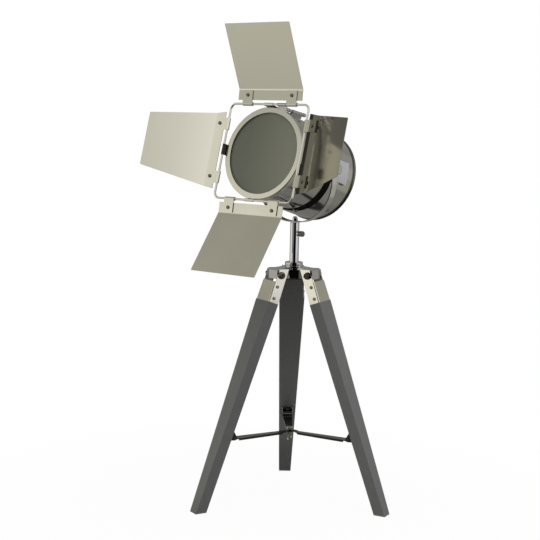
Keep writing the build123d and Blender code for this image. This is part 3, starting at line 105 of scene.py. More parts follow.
forward = Vector((sin(HEADING) * cos(PITCH), cos(HEADING) * cos(PITCH), -sin(PITCH)))
level = Vector((cos(HEADING), -sin(HEADING), 0))
upright = level.cross(forward)
right = cos(ROLL) * level + sin(ROLL) * upright
up = cos(ROLL) * upright - sin(ROLL) * level

camera_data = bpy.data.cameras.new("camera")
camera_data.lens = LENS_LENGTH
camera_data.sensor_width = SENSOR_WIDTH
camera = bpy.data.objects.new("camera", camera_data)
bpy.context.scene.collection.objects.link(camera)
facing = Matrix([right, up, -forward]).transposed()
camera.matrix_world = Matrix.Translation(EYE) @ facing.to_4x4()
bpy.context.scene.camera = camera
print("camera at", tuple(round(c, 3) for c in EYE))

# %% [markdown]
# ## Grain, an effect for many surfaces
#
# Sheet metal keeps a trace of its buffing, and wood keeps its long grain under paint.
# Both are noise drawn out in one direction. An image could carry them, but noise needs
# no picture and no unwrapping, and it stays sharp at any distance. It is made once, as
# a node group: the object's coordinates are turned, stretched and fed to the noise,
# which comes out as a mask and as a very shallow relief.

# %% Make the grain group
COLUMN, ROW = 220, 200
NUMBER, VECTOR = "NodeSocketFloat", "NodeSocketVector"


def fill_in(made, values):
    """Sets a node's inputs by name, where _ stands for a space, and returns the node."""
    for name, value in values.items():
        made.inputs[name.replace("_", " ")].default_value = value
    return made


def node(tree, kind, place, **values):
    """Adds a node of that kind at a (column, row) of the tree and fills in its inputs."""
    made = tree.nodes.new(kind)
    made.location = (place[0] * COLUMN, -place[1] * ROW)
    return fill_in(made, values)


def wire(tree, *pairs):
    """Links the two sockets of each pair, from an output to an input."""
    for outlet, inlet in pairs:
        tree.links.new(outlet, inlet)


def group_of(name, inputs, outputs):
    """A new node group with number inputs {name: default} and outputs (name, kind)."""
    tree = bpy.data.node_groups.new(name, "ShaderNodeTree")
    for socket, value in inputs.items():
        made = tree.interface.new_socket(socket, in_out="INPUT", socket_type=NUMBER)
        made.default_value = value
    for socket, kind in outputs:
        tree.interface.new_socket(socket, in_out="OUTPUT", socket_type=kind)
    return tree, node(tree, "NodeGroupInput", (-3, 0)), node(tree, "NodeGroupOutput", (4, 0))


grain, enter, leave = group_of(
    "grain", {"Across": 900.0, "Along": 30.0, "Depth": 0.1, "Tilt X": 0.0, "Tilt Z": 0.0},
    [("Mask", NUMBER), ("Normal", VECTOR)])
coords = node(grain, "ShaderNodeTexCoord", (-3, 2))
turn_by = node(grain, "ShaderNodeCombineXYZ", (-2, 1))
stretch = node(grain, "ShaderNodeCombineXYZ", (-2, 0))
turned = node(grain, "ShaderNodeMapping", (-1, 2))
scaled = node(grain, "ShaderNodeVectorMath", (0, 2))
scaled.operation = "MULTIPLY"
streaks = node(grain, "ShaderNodeTexNoise", (1, 2), Scale=1.0, Detail=4.0, Roughness=0.6)
relief = node(grain, "ShaderNodeBump", (2, 0), Distance=0.0002)
wire(grain,
     (enter.outputs["Tilt X"], turn_by.inputs["X"]),
     (enter.outputs["Tilt Z"], turn_by.inputs["Z"]),
     (enter.outputs["Across"], stretch.inputs["X"]),
     (enter.outputs["Across"], stretch.inputs["Y"]),
     (enter.outputs["Along"], stretch.inputs["Z"]),
     (coords.outputs["Object"], turned.inputs["Vector"]),
     (turn_by.outputs["Vector"], turned.inputs["Rotation"]),
     (turned.outputs["Vector"], scaled.inputs[0]),
     (stretch.outputs["Vector"], scaled.inputs[1]),
     (scaled.outputs["Vector"], streaks.inputs["Vector"]),
     (streaks.outputs["Fac"], relief.inputs["Height"]),
     (enter.outputs["Depth"], relief.inputs["Strength"]),
     (streaks.outputs["Fac"], leave.inputs["Mask"]),
     (relief.outputs["Normal"], leave.inputs["Normal"]))
print("grain:", len(grain.nodes), "nodes")

# %% [markdown]
# ## Handling, the cloudy change in gloss
#
# Fingers and cloths leave slow, cloudy changes in how sharply a surface mirrors. A
# plain number for the roughness would make metal look like plastic film, and a painted
# map would need unwrapping. This group gives a number that wanders between two limits.
# Noise seldom leaves the middle of its range, so that middle is stretched to the limits.

# %% Make the handling group
NOISE_LOW, NOISE_HIGH = 0.3, 0.7

handling, enter, leave = group_of(
    "handling", {"Scale": 14.0, "Low": 0.0, "High": 1.0}, [("Value", NUMBER)])
coords = node(handling, "ShaderNodeTexCoord", (-3, 2))
clouds = node(handling, "ShaderNodeTexNoise", (-1, 2), Detail=5.0, Roughness=0.55)
spread = node(handling, "ShaderNodeMapRange", (1, 0), From_Min=NOISE_LOW, From_Max=NOISE_HIGH)
wire(handling,
     (coords.outputs["Object"], clouds.inputs["Vector"]),
     (enter.outputs["Scale"], clouds.inputs["Scale"]),
     (clouds.outputs["Fac"], spread.inputs["Value"]),
     (enter.outputs["Low"], spread.inputs["To Min"]),
     (enter.outputs["High"], spread.inputs["To Max"]),
     (spread.outputs["Result"], leave.inputs["Value"]))
print("handling:", len(handling.nodes), "nodes")

# %% [markdown]
# ## Head axes, for one node with two finishes
#
# On the head, some pieces change their finish along a clean border, such as the dark
# bead round the chrome drum. The border could be a cut in the mesh, but the mesh
# belongs to the construction. So this group measures each point in millimetres from
# the tilt pivot, along the head's three directions, and a material can switch its
# colour at a place on the real lamp.

# %% Make the head axes group
HEAD_WAYS = {"Across": ACROSS, "Above": ABOVE, "Ahead": AHEAD}

head_axes, enter, leave = group_of("head_axes", {}, [(title, NUMBER) for title in HEAD_WAYS])
coords = node(head_axes, "ShaderNodeTexCoord", (-3, 2))
offset = node(head_axes, "ShaderNodeVectorMath", (-2, 2))
offset.operation = "SUBTRACT"
offset.inputs[1].default_value = PIVOT
wire(head_axes, (coords.outputs["Object"], offset.inputs[0]))
for row, (title, way) in enumerate(HEAD_WAYS.items()):
    along = node(head_axes, "ShaderNodeVectorMath", (0, row))
    along.operation = "DOT_PRODUCT"
    along.inputs[1].default_value = way * 1000
    wire(head_axes, (offset.outputs["Vector"], along.inputs[0]),
         (along.outputs["Value"], leave.inputs[title]))
print("groups:", [group.name for group in bpy.data.node_groups])

# %% [markdown]
# ## Chrome
#
# The stem, the hub and the drum are polished chrome: nearly mirror-bright, with only
# the faintest haze. The wire frame is plated like the doors but drawn smooth. Each is
# one Principled shader, fully metallic, whose base colour says how much it mirrors and
# whose roughness comes from the handling group.

# %% Make the bright metals
NICKEL, NICKEL_DULL = (0.74, 0.72, 0.62), (0.70, 0.68, 0.58)


def principled(name, color, **values):
    """A material with that linear base colour; values are Principled inputs by name."""
    material = bpy.data.materials.new(name)
    material.use_nodes = True
    shader = material.node_tree.nodes["Principled BSDF"]
    shader.inputs["Base Color"].default_value = (*color, 1)
    fill_in(shader, values)
    return material


def use(material, group, place, **values):
    """Places a node group in a material and fills in its inputs."""
    made = node(material.node_tree, "ShaderNodeGroup", place)
    made.node_tree = group
    return fill_in(made, values)


def feed(material, outlet, socket):
    """Links a node's output to one of the material's Principled inputs."""
    tree = material.node_tree
    wire(tree, (outlet, tree.nodes["Principled BSDF"].inputs[socket]))


def polished(name, color, scale, low, high, metallic=1.0):
    """A finish whose roughness wanders from low to high in clouds of that scale."""
    made = principled(name, color, Metallic=metallic)
    smears = use(made, handling, (-3, 0), Scale=scale, Low=low, High=high)
    feed(made, smears.outputs["Value"], "Roughness")
    return made


chrome = polished("polished_chrome", (0.58, 0.58, 0.575), 18.0, 0.02, 0.045)
wire_plate = polished("wire_nickel", NICKEL, 30.0, 0.07, 0.12)
print("bright metals:", chrome.name, wire_plate.name)

# %% [markdown]
# ## Satin nickel
#
# The doors with their tabs and the bezel are satin nickel. It is warmer than chrome and
# mirrors in a slight blur, as sheet does that was blasted before plating. Its colour
# drifts a little between a bright and a dull nickel, and the blasting is the grain
# group with the same scale both ways.

# %% Make the nickel
NICKEL_CLOUDS = 9.0
BLAST_SCALE = 1400.0


def tint(material, outlet, low, high, start=NOISE_LOW, end=NOISE_HIGH):
    """Drives the base colour from low to high as a value goes from start to end."""
    tree = material.node_tree
    blend = node(tree, "ShaderNodeMapRange", (-2, -2), From_Min=start, From_Max=end)
    ramp = node(tree, "ShaderNodeValToRGB", (-1, -2))
    ramp.color_ramp.elements[0].color = (*low, 1)
    ramp.color_ramp.elements[1].color = (*high, 1)
    wire(tree, (outlet, blend.inputs["Value"]), (blend.outputs["Result"], ramp.inputs["Fac"]))
    feed(material, ramp.outputs["Color"], "Base Color")


nickel = polished("satin_nickel", NICKEL, NICKEL_CLOUDS, 0.13, 0.19)
drift = use(nickel, handling, (-4, 2), Scale=6.0)
tint(nickel, drift.outputs["Value"], NICKEL_DULL, NICKEL)
blast = use(nickel, grain, (-3, 4), Across=BLAST_SCALE, Along=BLAST_SCALE, Depth=0.03)
feed(nickel, blast.outputs["Normal"], "Normal")
print("nickel:", len(nickel.node_tree.nodes), "nodes")

# %% [markdown]
# ## The other metals
#
# The leg brackets are plated warmer and smoother than the doors. Screws and clips are
# blackened, the latch is a greyer chrome, and the brace is pressed from strip that was
# blackened and oiled. These differ in numbers only, so each is one line: colour, size
# of the clouds (a higher number is finer), and the least and most roughness.

# %% Make the other metals
bracket_nickel = polished("bracket_nickel", (0.71, 0.685, 0.555), 40.0, 0.05, 0.09)
dark_steel = polished("dark_steel", (0.075, 0.072, 0.062), 120.0, 0.14, 0.24, metallic=0.9)
black_chrome = polished("black_chrome", (0.16, 0.155, 0.135), 60.0, 0.05, 0.1)
latch_chrome = polished("latch_chrome", (0.50, 0.49, 0.48), 60.0, 0.03, 0.06)
brace_steel = polished("brace_steel", (0.13, 0.128, 0.115), 60.0, 0.12, 0.2)
brace_nut = polished("brace_nut", (0.42, 0.40, 0.32), 90.0, 0.26, 0.36)
bare_steel = polished("bare_steel", (0.36, 0.35, 0.33), 150.0, 0.24, 0.4)
print("materials so far:", len(bpy.data.materials))

# %% [markdown]
# ## Clips with bright sleeves
#
# The clips that hold the wire frame to the drum are blackened, but the sleeve that
# closes round the wire is plated like the wire itself. The sleeve on the left is kept
# black as painted shade, since it lies in shadow. The sleeves are the outermost,
# foremost bits of the clips. So a point is plated where it lies far enough ahead, and
# far enough up, down or to the right.

# %% Make the clips' material
CLIP_BLACK = (0.05, 0.048, 0.04)
SLEEVE_AHEAD, SLEEVE_OUT = 84.6, 58.0


def math_node(tree, operation, place, *sources):
    """A Math node's value; a source is another node's output or a number."""
    made = node(tree, "ShaderNodeMath", place)
    made.operation = operation
    for socket, source in zip(made.inputs, sources):
        if isinstance(source, bpy.types.NodeSocket):
            wire(tree, (source, socket))
        else:
            socket.default_value = source
    return made.outputs["Value"]


clip_steel = polished("clip_steel", CLIP_BLACK, 60.0, 0.14, 0.24)
tree = clip_steel.node_tree
place = use(clip_steel, head_axes, (-5, -2)).outputs
height = math_node(tree, "ABSOLUTE", (-5, -3), place["Above"])
# Only up, down and right count, so the left sleeve stays black: painted shade.
furthest = math_node(tree, "MAXIMUM", (-4, -3), height, place["Across"])
outer = math_node(tree, "GREATER_THAN", (-3, -3), furthest, SLEEVE_OUT)
front = math_node(tree, "GREATER_THAN", (-3, -4), place["Ahead"], SLEEVE_AHEAD)
sleeve = math_node(tree, "MULTIPLY", (-3, -2), outer, front)
tint(clip_steel, sleeve, CLIP_BLACK, NICKEL)
print("clips:", len(tree.nodes), "nodes")

# %% [markdown]
# ## The dark bead round the drum
#
# The rolled bead round the back of the drum is coloured dark. Part of it belongs to the
# cap and part to the shell. On the cap the dark starts at a distance from the optical
# axis, which is the root of the sum of the two squares. On the shell it starts at a
# place along that axis.

# %% Make the drum's materials
DRUM_CHROME, BEAD_DARK = (0.59, 0.58, 0.545), (0.155, 0.15, 0.11)
CAP_BORDER = (62.6, 63.2)
SHELL_BORDER = (-50.0, -49.6)

cap_chrome = polished("cap_chrome", DRUM_CHROME, 18.0, 0.03, 0.06)
tree = cap_chrome.node_tree
place = use(cap_chrome, head_axes, (-6, -2)).outputs
across_squared = math_node(tree, "MULTIPLY", (-5, -2), place["Across"], place["Across"])
above_squared = math_node(tree, "MULTIPLY", (-5, -3), place["Above"], place["Above"])
radius_squared = math_node(tree, "ADD", (-4, -2), across_squared, above_squared)
radius = math_node(tree, "SQRT", (-3, -2), radius_squared)
tint(cap_chrome, radius, DRUM_CHROME, BEAD_DARK, *CAP_BORDER)

shell_chrome = polished("shell_chrome", DRUM_CHROME, 18.0, 0.02, 0.045)
place = use(shell_chrome, head_axes, (-4, -2)).outputs
tint(shell_chrome, place["Ahead"], BEAD_DARK, DRUM_CHROME, *SHELL_BORDER)
print("drum:", cap_chrome.name, shell_chrome.name)

# %% [markdown]
# ## Nickel with painted light and shade
#
# The nickel carries painted light and shade in its colour, for what it mirrors and the
# shade it lies in. The bezel is painted duller above than below. The top door has a
# darker flange, a painted highlight along its bend and a bright leaf. The left door is
# painted brightest beside its hinge, and the right door is painted dark, darkest along
# its hinge, as painted shadow and dark reflection. Each of these changes runs along one
# of the head's axes, so each material is a row of stops: a place in millimetres and the
# colour there.

# %% Make the nickel with painted light and shade
# Colours of painted light: the first for painted highlights, the second and third for painted
# shade and dark reflection.
BRIGHT, SHADED, DARK_REFLECTION = (0.80, 0.78, 0.68), (0.53, 0.515, 0.44), (0.17, 0.165, 0.135)
# The bezel: lighter below, darker above, as painted reflection.
BEZEL_STOPS = [(-75, BRIGHT), (0, (0.66, 0.645, 0.56)), (75, (0.50, 0.50, 0.445))]
# The top door: a darker flange as painted reflection, and a bright line at the bend as a painted
# highlight.
TOP_STOPS = [(70, SHADED), (86.8, SHADED), (87.8, BRIGHT), (89.0, BRIGHT),
             (90.2, (0.70, 0.68, 0.585)), (170, (0.76, 0.745, 0.635))]
# The left door: brightest beside its hinge, as painted reflection.
LEFT_STOPS = [(-170, (0.66, 0.64, 0.54)), (-130, (0.74, 0.72, 0.63)),
              (-90, (0.87, 0.85, 0.75)), (-70, (0.84, 0.82, 0.72))]
# The right door: a near-black band at the hinge edge is painted shadow of the slit between drum
# and door; the flange and leaf are darkened as painted dark reflection.
RIGHT_STOPS = [(72, (0.03, 0.029, 0.024)), (79.5, (0.035, 0.034, 0.028)),
               (80.5, DARK_REFLECTION), (88.6, DARK_REFLECTION),
               (89.4, (0.40, 0.38, 0.32)), (172, (0.38, 0.36, 0.31))]
# The right door's tabs carry the same painted dark reflection.
TAB_STOPS = [(66, (0.56, 0.55, 0.47)), (76.5, (0.44, 0.43, 0.36)), (77.5, DARK_REFLECTION),
             (95, DARK_REFLECTION)]


def banded(name, axis, stops, low, high):
    """Satin nickel whose colour follows stops (place in mm, colour) along a head axis.

    The ramp keeps its marks in order of place, so the colours are set in a loop of
    their own, after all the places.
    """
    made = polished(name, NICKEL, NICKEL_CLOUDS, low, high)
    tree = made.node_tree
    place = use(made, head_axes, (-4, -2)).outputs
    first, last = stops[0][0], stops[-1][0]
    span = node(tree, "ShaderNodeMapRange", (-3, -2), From_Min=first, From_Max=last)
    ramp = node(tree, "ShaderNodeValToRGB", (-2, -2))
    marks = ramp.color_ramp.elements
    while len(marks) < len(stops):
        marks.new(0.5)
    for mark, (where, _) in zip(marks, stops):
        mark.position = (where - first) / (last - first)
    for mark, (_, color) in zip(marks, stops):
        mark.color = (*color, 1)
    wire(tree, (place[axis], span.inputs["Value"]), (span.outputs["Result"], ramp.inputs["Fac"]))
    feed(made, ramp.outputs["Color"], "Base Color")
    return made


bezel_nickel = banded("bezel_nickel", "Above", BEZEL_STOPS, 0.12, 0.18)
top_nickel = banded("top_door_nickel", "Above", TOP_STOPS, 0.13, 0.19)
left_nickel = banded("left_door_nickel", "Across", LEFT_STOPS, 0.13, 0.19)
right_nickel = banded("right_door_nickel", "Across", RIGHT_STOPS, 0.06, 0.1)
right_tabs = banded("right_tab_nickel", "Across", TAB_STOPS, 0.1, 0.16)
print("nickel_light_and_shade:", [m.name for m in (bezel_nickel, top_nickel, left_nickel, right_nickel)])

# %% [markdown]
# ## Painted legs
#
# The legs are sawn from wood and sprayed a mid grey. A sprayed coat hides the colour of
# the wood but not its long grain, which shows as a very shallow ripple along the leg.
# Each leg leans its own way, so the grain group is turned to lie along it. Each leg's
# colour is scaled by a factor of its own: painted light and shade, for how lit it is.

# %% Make the legs' paint
PAINT_DARK, PAINT_PALE = np.array([0.104, 0.107, 0.102]), np.array([0.114, 0.117, 0.112])
LEG_LEAN = 19.9
# Each leg's second number darkens or lightens its paint: painted light and shade for how much
# light that leg gets.
LEG_TURNS_AND_LIGHT = {"left": (240.0, 1.2), "right": (120.0, 1.42), "back": (0.0, 0.92)}

paints = {}
for leg, (azimuth, shade) in LEG_TURNS_AND_LIGHT.items():
    paint = principled("leg_paint_" + leg, PAINT_PALE)
    ripple = use(paint, grain, (-4, 1), Across=260.0, Along=9.0, Depth=0.04,
                 Tilt_X=radians(LEG_LEAN), Tilt_Z=radians(azimuth))
    tint(paint, ripple.outputs["Mask"], PAINT_DARK * shade, PAINT_PALE * shade)
    smears = use(paint, handling, (-3, 0), Scale=22.0, Low=0.36, High=0.44)
    feed(paint, smears.outputs["Value"], "Roughness")
    feed(paint, ripple.outputs["Normal"], "Normal")
    paints["leg_" + leg] = paint
print("paints:", sorted(paints))

# %% [markdown]
# ## Glass, reflector and the small plastics
#
# The front glass is a diffuser: pale grey-green, sandblasted on its inner side, so the
# lampholder behind it melts into an even dusk. A rough transmission does this better than
# a see-through pane with bumps. Its colour is painted a little paler to the right, which
# is painted reflection. Metallic and Transmission stay plain numbers here, because the
# export reads them from the shader.

# %% Make glass, reflector and plastics
# Paler to the right: painted reflection.
GLASS_DUSK, GLASS_PALE = (0.285, 0.30, 0.24), (0.45, 0.47, 0.36)
GLASS_FROM, GLASS_TO = -30, 48

lens_glass = principled("lens_glass", (0.40, 0.41, 0.32), Roughness=0.42, IOR=1.45,
                        Transmission_Weight=0.55)
place = use(lens_glass, head_axes, (-4, -2)).outputs
tint(lens_glass, place["Across"], GLASS_DUSK, GLASS_PALE, GLASS_FROM, GLASS_TO)
bulb_glass = principled("bulb_glass", (0.92, 0.92, 0.90), Roughness=0.25, IOR=1.45,
                        Transmission_Weight=0.6)
reflector = polished("reflector_aluminium", (0.75, 0.76, 0.76), 30.0, 0.22, 0.34)
rubber = polished("gasket_rubber", (0.012, 0.012, 0.012), 60.0, 0.55, 0.75, metallic=0.0)
plastic = polished("holder_plastic", (0.02, 0.02, 0.02), 60.0, 0.32, 0.45, metallic=0.0)
print("glass:", lens_glass.name, bulb_glass.name)

# %% [markdown]
# ## Every node gets its finish
#
# The construction names a material slot on each node, and that slot decides the finish
# unless the node has one of its own. Only the slot's material is changed. The meshes
# stay as the construction made them.

# %% Give out the finishes
SLOT_FINISH = {
    "polished_chrome": chrome, "satin_nickel": nickel, "dark_steel": dark_steel,
    "bare_steel": bare_steel, "lens_glass": lens_glass, "bulb_glass": bulb_glass,
    "gasket_rubber": rubber, "reflector_aluminium": reflector, "holder_plastic": plastic,
}
NODE_FINISH = {
    **paints, "wire_frame": wire_plate, "latch_plate": latch_chrome,
    "latch_bracket": latch_chrome, "latch_pin": latch_chrome, "frame_clips": clip_steel,
    "rear_cap": cap_chrome, "drum_shell": shell_chrome, "bezel_ring": bezel_nickel,
    "door_top_leaf": top_nickel, "door_top_tabs": top_nickel,
    "door_left_leaf": left_nickel, "door_left_tabs": left_nickel,
    "door_right_leaf": right_nickel, "door_right_tabs": right_tabs,
    "hub_bolts": black_chrome, "height_screw": black_chrome,
    "brace_bolt": brace_nut, "brace_knob": brace_nut,
    **{n: black_chrome for n in nodes if n.startswith("door") and n.endswith("screws")},
    **{n: bracket_nickel for n in nodes if n.startswith("leg_bracket")},
    **{n: brace_steel for n in nodes if n.startswith(("brace_strip", "brace_hinge"))},
}

for name, part in nodes.items():
    for holder in part.material_slots:
        slot_name = holder.material.name.split(".")[0]
        holder.material = NODE_FINISH.get(name) or SLOT_FINISH[slot_name]
print(len(nodes), "nodes finished,", len(NODE_FINISH), "of them with a finish of their own")

# %% [markdown]
# ## The path of the yoke
#
# The yoke is one strip of spring steel, bent cold round a former: two short straight
# cheeks, then one long, even curve that flattens only where it is bolted to the stem.
# A strip bent this way can't keep sharp corners, and its ends are ground round about
# the pivots. A curve object with a bevel could draw it, but a path worked out point by
# point puts the bend exactly where it has to be.

# %% Work out the yoke's path
YOKE_HALF = 66.4
YOKE_SHEET = 1.7
YOKE_FLOOR = -77.4
YOKE_BEND = 61.6
YOKE_WIDTH = 11.6
CHEEK_TOP = 6.2
CHEEK_DROPS = 0.15 * np.arange(12) ** 1.7
STRAIGHT_END = 1.0
BEND_POINTS = 40


def yoke_path():
    """Centre line (across, rise) and outward normal of the strip, right cheek to left.

    Straight down from the cheek's top, in steps that grow, to just above the bend. Then
    a quarter circle about (half - bend, floor + bend), and its mirror image back up.
    """
    mid = YOKE_SHEET / 2
    fall = np.concatenate([CHEEK_TOP - CHEEK_DROPS, [YOKE_FLOOR + YOKE_BEND + STRAIGHT_END]])
    angle = np.linspace(0, np.pi / 2, BEND_POINTS)
    straight = np.stack([np.full_like(fall, YOKE_HALF + mid), fall], -1)
    arc = np.stack([YOKE_HALF - YOKE_BEND + (YOKE_BEND + mid) * np.cos(angle),
                    YOKE_FLOOR + YOKE_BEND - (YOKE_BEND + mid) * np.sin(angle)], -1)
    down = np.concatenate([straight, arc])
    out = np.concatenate([np.tile([1.0, 0.0], (len(fall), 1)),
                          np.stack([np.cos(angle), -np.sin(angle)], -1)])
    flip = np.array([-1.0, 1.0])
    return np.concatenate([down, down[::-1] * flip]), np.concatenate([out, out[::-1] * flip])


path, outward = yoke_path()
print("yoke's path:", len(path), "points, lowest at", round(path[:, 1].min(), 2), "mm")

# %% [markdown]
# ## The yoke's skin
#
# The strip's section is a flat with broken edges. Carried along the path, it gives a
# ring of eight points at each step, and faces join each ring to the next. Such a skin
# is called a loft, and its two ends are closed by a face each. Towards the ends the
# strip narrows along a circle, which rounds the cheeks.

# %% Loft the yoke
EDGE = 0.35
SMOOTH_BELOW = radians(25)
BLUNT_END = 0.04
# The second colour is painted shade, for the strip's inner face.
YOKE_CHROME, YOKE_INNER_SHADE = (0.70, 0.70, 0.69), (0.05, 0.048, 0.042)


def closed_mesh(name, points, faces, material):
    """A mesh object at the origin from an array of points and a list of faces.

    Faces that meet at a smaller angle than SMOOTH_BELOW are shaded as one surface.
    """
    mesh = bpy.data.meshes.new(name)
    mesh.from_pydata(np.reshape(points, (-1, 3)).tolist(), [], faces)
    mesh.shade_smooth()
    mesh.set_sharp_from_angle(angle=SMOOTH_BELOW)
    mesh.materials.append(material)
    made = bpy.data.objects.new(name, mesh)
    bpy.context.scene.collection.objects.link(made)
    return made


def quads(number):
    """One face of four points for each cell of a grid of point numbers."""
    corners = [number[:-1, :-1], number[:-1, 1:], number[1:, 1:], number[1:, :-1]]
    return np.stack(corners, -1).reshape(-1, 4)


def loft(name, rings, material):
    """A closed skin over rings of points, an array (ring, point, xyz).

    The grid of point numbers gets its first column again at its end, so that the faces
    go all the way round. The first and the last ring close the ends.
    """
    total, count = rings.shape[:2]
    number = np.arange(total * count).reshape(total, count)
    sides = quads(np.hstack([number, number[:, :1]]))
    ends = [number[0, ::-1].tolist(), number[-1].tolist()]
    return closed_mesh(name, rings, sides.tolist() + ends, material)


half_width, half_sheet = YOKE_WIDTH / 2, YOKE_SHEET / 2
drop = np.clip((CHEEK_TOP - path[:, 1]) / half_width, 0, 1)
reach = half_width * np.sqrt(np.clip(1 - (1 - drop) ** 2, BLUNT_END, 1))
side, off, inset = np.array([
    (1, half_sheet - EDGE, 0), (1, half_sheet, -EDGE), (-1, half_sheet, EDGE),
    (-1, half_sheet - EDGE, 0), (-1, EDGE - half_sheet, 0), (-1, -half_sheet, EDGE),
    (1, -half_sheet, -EDGE), (1, EDGE - half_sheet, 0)]).T
run, rise = np.moveaxis(path[:, None] + off[:, None] * outward[:, None], -1, 0)
rings = from_pivot((run, rise, side * reach[:, None] + inset), (ACROSS, PLUMB, BEHIND))
yoke_chrome = polished("yoke_chrome", YOKE_CHROME, 20.0, 0.04, 0.08)
yoke = loft("yoke_strip", rings, yoke_chrome)
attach(yoke, "yoke")
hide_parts("yoke")
print("yoke:", len(yoke.data.vertices), "points")

# %% [markdown]
# ## The yoke's dark inner face
#
# The strip's inner face faces the drum and lies in shade, so it is coloured dark as
# painted shade, and the drum mirrors it as a dark band. The section knows which of its
# points are inside, so the mesh carries that as an attribute, and the material reads it.

# %% Darken the inner face
INSIDE_FROM, INSIDE_TO = 0.4, 0.6

inward = np.tile((off < 0).astype(float), (len(path), 1))
layer = yoke.data.attributes.new("inward", "FLOAT", "POINT")
layer.data.foreach_set("value", inward.ravel())
dull = node(yoke_chrome.node_tree, "ShaderNodeAttribute", (-3, -2))
dull.attribute_name = "inward"
# Painted shade on the inner face, which faces the drum.
tint(yoke_chrome, dull.outputs["Fac"], YOKE_CHROME, YOKE_INNER_SHADE, INSIDE_FROM, INSIDE_TO)
print("inner points:", int(inward.sum()), "of", inward.size)

# %% [markdown]
# ## The bare plate on the drum's side
#
# Behind the right pivot sits a thin bare plate, of the kind that closes the hole through
# which the pivot's nut is reached. It is a patch of the drum's own curve, its corners
# drawn out a little. Short dark bars along its edges are painted shadow, for the shade
# at the plate's edges. A flat plate could be wrapped on with a Shrinkwrap, but two
# angles and two places along the drum already say where each point lies.

# %% Make the side plate and its painted shadow bars
DRUM_RADIUS = 64.3
PATCH_POINTS = (13, 9)
PATCH_SEAT = 0.02
PLATE_TURN = (-13.0, 17.0)
PLATE_ALONG = (-40.0, -11.0)
PLATE_LIFT = 0.35
CORNER_DRAW = 0.08
# The dark bars along the plate's edges are painted shadow.
SHADOW_BAR_LIFT = PLATE_LIFT * 1.8
SHADOW_BAR_PLACES = [
    # turn in degrees, place along the drum in mm
    ((14.5, 17.5), (-11.2, -9.6)),
    ((4.0, 13.0), (-10.8, -9.2)),
    ((-8.0, -2.5), (-10.8, -9.2)),
    ((-14.0, -12.4), (-17.0, -11.5)),
    ((-14.6, -12.8), (-33.0, -24.0)),
]


def slab(name, outer, inner, material):
    """A closed skin between two grids of points of one shape (row, column, xyz).

    The outer grid faces out. Round the edge, the grids' borders are joined.
    """
    rows, columns = outer.shape[:2]
    number = np.arange(rows * columns).reshape(rows, columns)
    cells = quads(number)
    rim = np.concatenate([number[0, :-1], number[:-1, -1], number[-1, :0:-1],
                          number[:0:-1, 0]])
    after = np.roll(rim, -1)
    below = rows * columns
    edge = np.stack([after, rim, rim + below, after + below], -1)
    faces = np.concatenate([cells, cells[:, ::-1] + below, edge])
    return closed_mesh(name, np.stack([outer, inner]), faces.tolist(), material)


def drum_patch(name, turns, alongs, lift, material, draw=0.0):
    """A slab on the drum between two angles and two places along its axis.

    A point at the grid's u and v (both from -1 to 1) lies at the middle plus the half
    range times u * (1 - draw * (1 - v^2)), and likewise for v, so the sides bow in.
    """
    u, v = np.meshgrid(*(np.linspace(-1, 1, count) for count in PATCH_POINTS), indexing="ij")
    angle = np.radians(np.mean(turns) + np.ptp(turns) / 2 * u * (1 - draw * (1 - v ** 2)))
    along = np.mean(alongs) + np.ptp(alongs) / 2 * v * (1 - draw * (1 - u ** 2))
    outer, inner = [from_pivot(((DRUM_RADIUS + rise) * np.cos(angle),
                                (DRUM_RADIUS + rise) * np.sin(angle), along),
                               (ACROSS, ABOVE, AHEAD))[:, ::-1]
                    for rise in (lift, PATCH_SEAT)]
    made = slab(name, outer, inner, material)
    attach(made, "head")
    return made


plate_steel = polished("plate_steel", (0.60, 0.60, 0.61), 40.0, 0.3, 0.4, metallic=0.35)
plate = drum_patch("side_plate", PLATE_TURN, PLATE_ALONG, PLATE_LIFT, plate_steel,
                   CORNER_DRAW)
# Painted shadow: dark bars along the plate's edges.
for count, (turns, alongs) in enumerate(SHADOW_BAR_PLACES):
    shadow_bar = drum_patch(f"side_plate_shadow_bar_{count}", turns, alongs, SHADOW_BAR_LIFT, dark_steel)
print("plate:", len(plate.data.polygons), "faces, with", len(SHADOW_BAR_PLACES), "shadow_bars")

# %% [markdown]
# ## The studio, as a list of painted zones
#
# Chrome shows the room, so the room decides how the lamp looks. Single lamps would
# stand in it as hard spots. So the lamp stands inside a painted dome of soft light, as
# in a product studio: pale scrims at both front quarters, a black flag round the camera
# that gives the stem and the hub their dark core, a low bright board on the left, and
# dimmer walls on the right and behind. The ground has zones of its own. Each zone is a
# range of directions with soft edges, and a later zone lies over the earlier ones.

